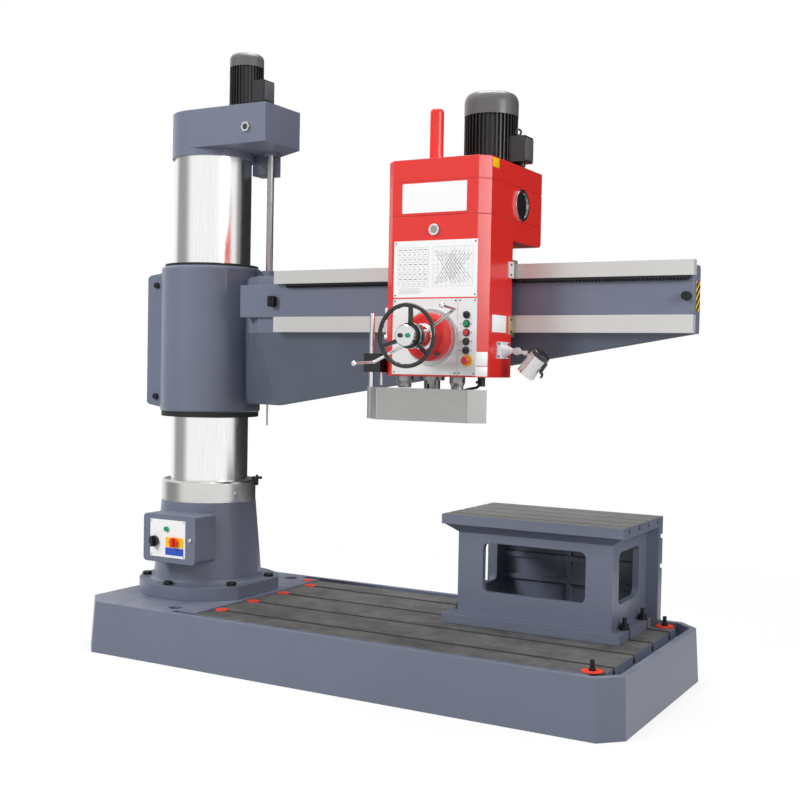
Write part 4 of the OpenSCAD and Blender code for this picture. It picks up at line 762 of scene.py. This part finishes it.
# %% Glasses and wipers
trim("window_glass", "glass", "head", [
    (put_rod, (SIDE + 0.0021, -0.198, 1.882), (SIDE + 0.0042, -0.198, 1.882), 0.0488, None, 48, 0.0006)])
trim("sight_glass", "oil", "head", [
    (put_rod, (1.420, -0.5021, 1.767), (1.420, -0.5050, 1.767), 0.0138, None, 32, 0.0005)])
trim("cap_sight_glass", "glass", "column", [
    (put_rod, (0.322, -0.1891, 2.290), (0.322, -0.1915, 2.290), 0.0128, None, 32, 0.0005)])
trim("upper_wiper", "bracket", "head", [
    (put_box, (SIDE - 0.030, -0.306, 1.601), (SIDE + 0.007, -0.2661, 1.661), 0.001)])
trim("lower_wiper", "bronze", "head", [
    (put_box, (SIDE - 0.030, -0.296, 1.390), (SIDE + 0.007, -0.2661, 1.458), 0.001)])
trim("wiper_screws", "dark", "head", [
    (put_rod, (SIDE + 0.0068, y, z), (SIDE + 0.0095, y, z), 0.0045, None, 16)
    for y, z in ((-0.292, 1.612), (-0.292, 1.650), (-0.284, 1.402), (-0.284, 1.446))])
print("glasses and wipers ready")

# %% [markdown]
# ### Main motor, drum and lamp plate
# The main motor's terminal box has a cover and a gland too. A small black knob sits on the drum, so it is parented to
# the feed hub's body. Four screws hold the lamp's plate.

# %% Motor box, drum knob and plate screws
low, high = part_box("main_motor")
mid = -0.148
trim("terminal_cover", "cowl", "head", [
    (put_box, (high[0] - 0.001, mid - 0.036, low[2] + 0.030), (high[0] + 0.004, mid + 0.036, low[2] + 0.114),
     0.0015)])
gland_x = high[0] - 0.028
trim("terminal_gland", "dark", "head", [
    (put_rod, (gland_x, mid, low[2] + 0.0245), (gland_x, mid, low[2] + 0.004), 0.012),
    (put_ring, (gland_x, mid, low[2] + 0.010), (0, 0, 1), 0.0145, 0.011, 0.009)])
trim("drum_knob", "black", "feed_hub", [
    (put_rod, (1.473, drum[0][1] + 0.004, 1.312), (1.473, drum[0][1] - 0.010, 1.312), 0.009, 0.007, 24, 0.001)])
trim("lamp_plate_screws", "dark", "head", [
    (put_rod, (SIDE + 0.0055, y, z), (SIDE + 0.0085, y, z), 0.004, None, 16)
    for y in (-0.388, -0.304) for z in (1.308, 1.354)])
print("motor and drum trim ready")

# %% [markdown]
# ### Work lamp
# The lamp is a short metal can with a lens in front, a black cap behind and a hook to tilt it by. It leans, so its
# pieces are placed with one vector along the can and one across it. Turning finished pieces would give the same.

# %% Trim on the lamp
lamp_mid, lamp_lean = Vector((1.757, -0.345, 1.282)), math.radians(40)
lamp_dir = Vector((-math.sin(lamp_lean), 0, -math.cos(lamp_lean)))
half = 0.0485
trim("lamp_lens", "lens", "lamp_body", [
    (put_rod, lamp_mid + lamp_dir * (half - 0.0079), lamp_mid + lamp_dir * (half - 0.004), 0.0308, None, 48,
     0.0008)])
trim("lamp_back_cap", "black", "lamp_body", [
    (put_rod, lamp_mid - lamp_dir * (half - 0.014), lamp_mid - lamp_dir * (half + 0.004), 0.0362, 0.034, 48,
     0.002)])
side = Vector((-lamp_dir.z, 0, lamp_dir.x))
hook_at = lamp_mid + side * 0.036
bend = hook_at + lamp_dir * 0.006
trim("lamp_hook", "black", "lamp_body", [
    (put_rod, hook_at - lamp_dir * 0.034, bend + side * 0.004, 0.007, 0.006, 20, 0.001),
    (put_rod, bend - lamp_dir * 0.002 + side * 0.004, bend + side * 0.017, 0.006, 0.005, 20, 0.001),
    (put_rod, bend + side * 0.016, bend + lamp_dir * 0.014 + side * 0.018, 0.0045, 0.004, 20, 0.001)])
print("lamp trim ready")

# %% [markdown]
# ### Dial graduations
# The bright ring behind the drum carries fine marks, with a longer one at every fifth. A loop could place them, but
# Geometry Nodes do it in one step: a mark stands on every point of a circle. The result is turned into a plain mesh,
# so the piece needs no modifier.

# %% Repeated marks
def ring_maker():
    """A geometry node group: copies of the input mark stand round a circle."""
    tree = bpy.data.node_groups.new("Marks round a ring", "GeometryNodeTree")
    keys = {}
    for label, kind, default in (("Mark", "NodeSocketGeometry", None), ("Count", "NodeSocketInt", 72),
                                 ("Radius", "NodeSocketFloat", 0.1), ("Material", "NodeSocketMaterial", None)):
        socket = tree.interface.new_socket(label, in_out="INPUT", socket_type=kind)
        keys[label] = socket.identifier
        if default is not None:
            socket.default_value = default
    tree.interface.new_socket("Geometry", in_out="OUTPUT", socket_type="NodeSocketGeometry")
    new, link = tree.nodes.new, tree.links.new
    src, out = new("NodeGroupInput"), new("NodeGroupOutput")
    circle = new("GeometryNodeMeshCircle")
    link(src.outputs["Count"], circle.inputs["Vertices"])
    link(src.outputs["Radius"], circle.inputs["Radius"])
    align = new("FunctionNodeAlignRotationToVector")
    align.axis = "X"
    link(new("GeometryNodeInputPosition").outputs[0], align.inputs["Vector"])
    spread = new("GeometryNodeInstanceOnPoints")
    link(circle.outputs["Mesh"], spread.inputs["Points"])
    link(src.outputs["Mark"], spread.inputs["Instance"])
    link(align.outputs[0], spread.inputs["Rotation"])
    real = new("GeometryNodeRealizeInstances")
    link(spread.outputs[0], real.inputs[0])
    paint = new("GeometryNodeSetMaterial")
    link(real.outputs[0], paint.inputs["Geometry"])
    link(src.outputs["Material"], paint.inputs["Material"])
    link(paint.outputs[0], out.inputs[0])
    return tree, keys


MAKER, KEYS = ring_maker()
print("node group:", MAKER.name)


# %% [markdown]
# ### Marks on the ring
# The mark is one thin bar. The circle lies flat in its own space, so a matrix stands it up on the ring's front face.

# %% Dial and boss
def ring_of(name, mat, body, low, high, count, radius, place):
    """Marks from low to high, measured outward from the circle, placed by a matrix."""
    bm = bmesh.new()
    put_box(bm, low, high)
    mesh = bpy.data.meshes.new(name)
    bm.to_mesh(mesh)
    bm.free()
    seed = bpy.data.objects.new(name + "_seed", mesh)
    bpy.context.scene.collection.objects.link(seed)
    mod = seed.modifiers.new("marks", "NODES")
    mod.node_group = MAKER
    mod[KEYS["Count"]] = count
    mod[KEYS["Radius"]] = radius
    mod[KEYS["Material"]] = M[mat]
    ready = seed.evaluated_get(bpy.context.evaluated_depsgraph_get())
    plain = bpy.data.meshes.new_from_object(ready)
    bpy.data.objects.remove(seed)
    plain.transform(place)
    show(name, plain, mat, body)
    return len(plain.polygons)


wheel_x = (drum[0][0] + drum[1][0]) / 2
wheel_z = (drum[0][2] + drum[1][2]) / 2
dial_r = 0.1000
dial = Matrix.Translation((wheel_x, drum[1][1] - 0.0081, wheel_z)) @ Matrix.Rotation(math.radians(90), 4, "X")
faces = ring_of("dial_marks", "dark_ink", "feed_hub", (-0.002, -0.0004, -0.0001), (0.0022, 0.0004, 0.0001),
                90, dial_r, dial)
faces += ring_of("dial_long_marks", "dark_ink", "feed_hub", (-0.006, -0.0005, -0.0001),
                 (0.0022, 0.0005, 0.0001), 18, dial_r, dial)
boss_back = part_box("hub_cap")[1][1]
trim("boss_ring", "bright", "wheel", [
    (put_ring, (wheel_x, boss_back + 0.0125, wheel_z), (0, 1, 0), 0.0475, 0.0460, 0.004)])
print("faces in repeated marks:", faces)

# %% [markdown]
# ## Studio
# A product photo is taken in a white room. The backdrop is white to the camera here too, but a white room alone
# would leave polished metal without shape. Photographers hang dark cloths beside it for that. Here the world itself
# is darker to mirror rays in two directions, and a lobe is such a direction with soft borders.

# %% World helpers
scene = bpy.context.scene
scene.view_settings.view_transform = "Standard"
world = bpy.data.worlds.new("Studio")
scene.world = world
world.use_nodes = True
tree = world.node_tree
way = add(tree, "TexCoord").outputs["Generated"]
WHITE = (1, 1, 1, 1)


def rays(tree):
    """The kinds of ray, and 1 for those that show a surface to the eye: straight, in a mirror or through glass."""
    kinds = add(tree, "LightPath").outputs
    seen = calc(tree, "ADD", kinds["Is Camera Ray"], kinds["Is Glossy Ray"], True)
    return kinds, calc(tree, "ADD", seen, kinds["Is Transmission Ray"], True)


def lobe(angle, start, full, least):
    """Brightness that falls to a least value in the directions round one compass angle."""
    turn = math.radians(angle)
    near = add(tree, "VectorMath", {0: way, 1: (math.cos(turn), math.sin(turn), 0.0)}, operation="DOT_PRODUCT")
    return add(tree, "MapRange", {0: near.outputs["Value"], 1: start, 2: full, 3: 1.0, 4: least},
               interpolation_type="SMOOTHSTEP").outputs[0]


print("world:", world.name)

# %% [markdown]
# ### World light
# `shade` is what mirrors see. `soft` is the weak light that falls on paint: it is lower on the side away from the
# key lamp, so that the machine's right sides turn darker, as in the photo.

# %% World
kinds, seen = rays(tree)
shade = calc(tree, "MINIMUM", lobe(80, 0.47, 0.69, 0.03), lobe(205, 0.80, 0.97, 0.34))
mirror = calc(tree, "MULTIPLY", kinds["Is Glossy Ray"], calc(tree, "SUBTRACT", 1.0, shade))
room_light = 0.27
soft = add(tree, "Mix", {0: lobe(60, -0.2, 0.9, 0.45), 2: 0.0, 3: room_light}).outputs[0]
power = add(tree, "Mix", {0: seen, 2: soft, 3: 1.0}).outputs[0]
back = tree.nodes["Background"]
feed(tree, back.inputs["Color"], WHITE)
feed(tree, back.inputs["Strength"], calc(tree, "SUBTRACT", power, mirror))
print("room light on paint:", room_light)

# %% [markdown]
# ### Floor
# A white studio floor shows a faint shadow near the machine and runs into the backdrop farther out. Cutting the
# machine out afterwards would lose that shadow. So the floor is a mix: near the machine it keeps a fifth of its own
# shading, and farther out it glows as white as the backdrop.
# Mirrors see through it there, so that the bands in polished metal don't end at the horizon.

# %% Floor material
floor_mat = bpy.data.materials.new("Studio floor")
floor_mat.use_nodes = True
tree = floor_mat.node_tree
flat = tree.nodes["Principled BSDF"]
glow = add(tree, "Emission", {"Color": WHITE, "Strength": 1.0})
kinds, seen = rays(tree)
near_m, far_m, clear_m, near_glow = 1.8, 3.8, 3.2, 0.8
feed(tree, flat.inputs["Roughness"], 0.9)
feed(tree, flat.inputs["Base Color"],
     mix(tree, kinds["Is Camera Ray"], (0.42, 0.42, 0.42, 1), (0.88, 0.88, 0.88, 1)))
far = add(tree, "VectorMath", {0: own_place(tree)}, operation="LENGTH").outputs["Value"]
lit = add(tree, "MapRange", {0: far, 1: near_m, 2: far_m, 3: near_glow, 4: 1.0},
          interpolation_type="SMOOTHSTEP").outputs[0]
blend = add(tree, "MixShader", {0: calc(tree, "MULTIPLY", seen, lit), 1: flat.outputs[0], 2: glow.outputs[0]})
out = calc(tree, "MULTIPLY", kinds["Is Glossy Ray"], calc(tree, "GREATER_THAN", far, clear_m))
through = add(tree, "MixShader", {0: out, 1: blend.outputs[0], 2: add(tree, "BsdfTransparent").outputs[0]})
feed(tree, tree.nodes["Material Output"].inputs["Surface"], through.outputs[0])
print("the floor is white beyond", far_m, "m")

# %% [markdown]
# The floor itself is one large square. It lies half a millimetre below the machine's foot, so the two faces can't
# flicker against each other.

# %% Floor
bm = bmesh.new()
bmesh.ops.create_grid(bm, x_segments=1, y_segments=1, size=30)
mesh = bpy.data.meshes.new("studio_floor")
bm.to_mesh(mesh)
bm.free()
floor = bpy.data.objects.new("studio_floor", mesh)
scene.collection.objects.link(floor)
floor.location = (1, 0, -0.0005)
give(floor, floor_mat)
print("floor:", floor.name)

# %% [markdown]
# ### Lamps
# Large square lamps give the soft light of a studio. Small ones would cast hard shadows.
# The key lamp stands high at the left. Mirrors don't see it, because it would wash out the glossy red front.
# The fill lamp lights the head's right side, and one lamp hangs overhead.

# %% Lamps
def lamp(name, place, target, size, power):
    """A soft square lamp that looks at a target."""
    data = bpy.data.lights.new(name, "AREA")
    data.shape = "SQUARE"
    data.size = size
    data.energy = power
    obj = bpy.data.objects.new(name, data)
    scene.collection.objects.link(obj)
    obj.location = place
    obj.rotation_euler = (Vector(target) - Vector(place)).to_track_quat("-Z", "Y").to_euler()
    return obj


lamp("key_lamp", (-3.6, -6.4, 5.0), (0.8, 0, 1.2), 2.5, 510).visible_glossy = False
lamp("fill_lamp", (4.8, -1.2, 2.3), (1.8, -0.4, 1.8), 1.4, 66)
lamp("top_lamp", (0.9, 0.4, 6.2), (0.9, 0, 0.4), 3.5, 350)

# %% [markdown]
# ## Camera
# The camera stands where the photographer stood, so that the render can be laid over the photo. It could be moved
# there by eye. Its place and lens were worked out instead from the base's corners, the column and the arm.

# %% Camera
PHOTO_WIDTH, FOCAL_PX, SENSOR_MM = 800, 1174.32, 36.0
yaw, pitch, roll = (math.radians(v) for v in (-29.37, -1.62, 1.07))
forward = Vector((math.sin(yaw) * math.cos(pitch), math.cos(yaw) * math.cos(pitch), math.sin(pitch)))
right = Vector((math.cos(yaw), -math.sin(yaw), 0))
up = right.cross(forward)
side, top = right * math.cos(roll) + up * math.sin(roll), up * math.cos(roll) - right * math.sin(roll)
camera = bpy.data.objects.new("camera", bpy.data.cameras.new("camera"))
scene.collection.objects.link(camera)
camera.data.sensor_width = SENSOR_MM
camera.data.lens = SENSOR_MM * FOCAL_PX / PHOTO_WIDTH
camera.data.clip_end = 100.0
pose = Matrix((side, top, -forward)).transposed().to_4x4()
pose.translation = Vector((3.43267, -4.30825, 1.26335))
camera.matrix_world = pose
scene.camera = camera
print("camera at", tuple(round(v, 3) for v in camera.location))
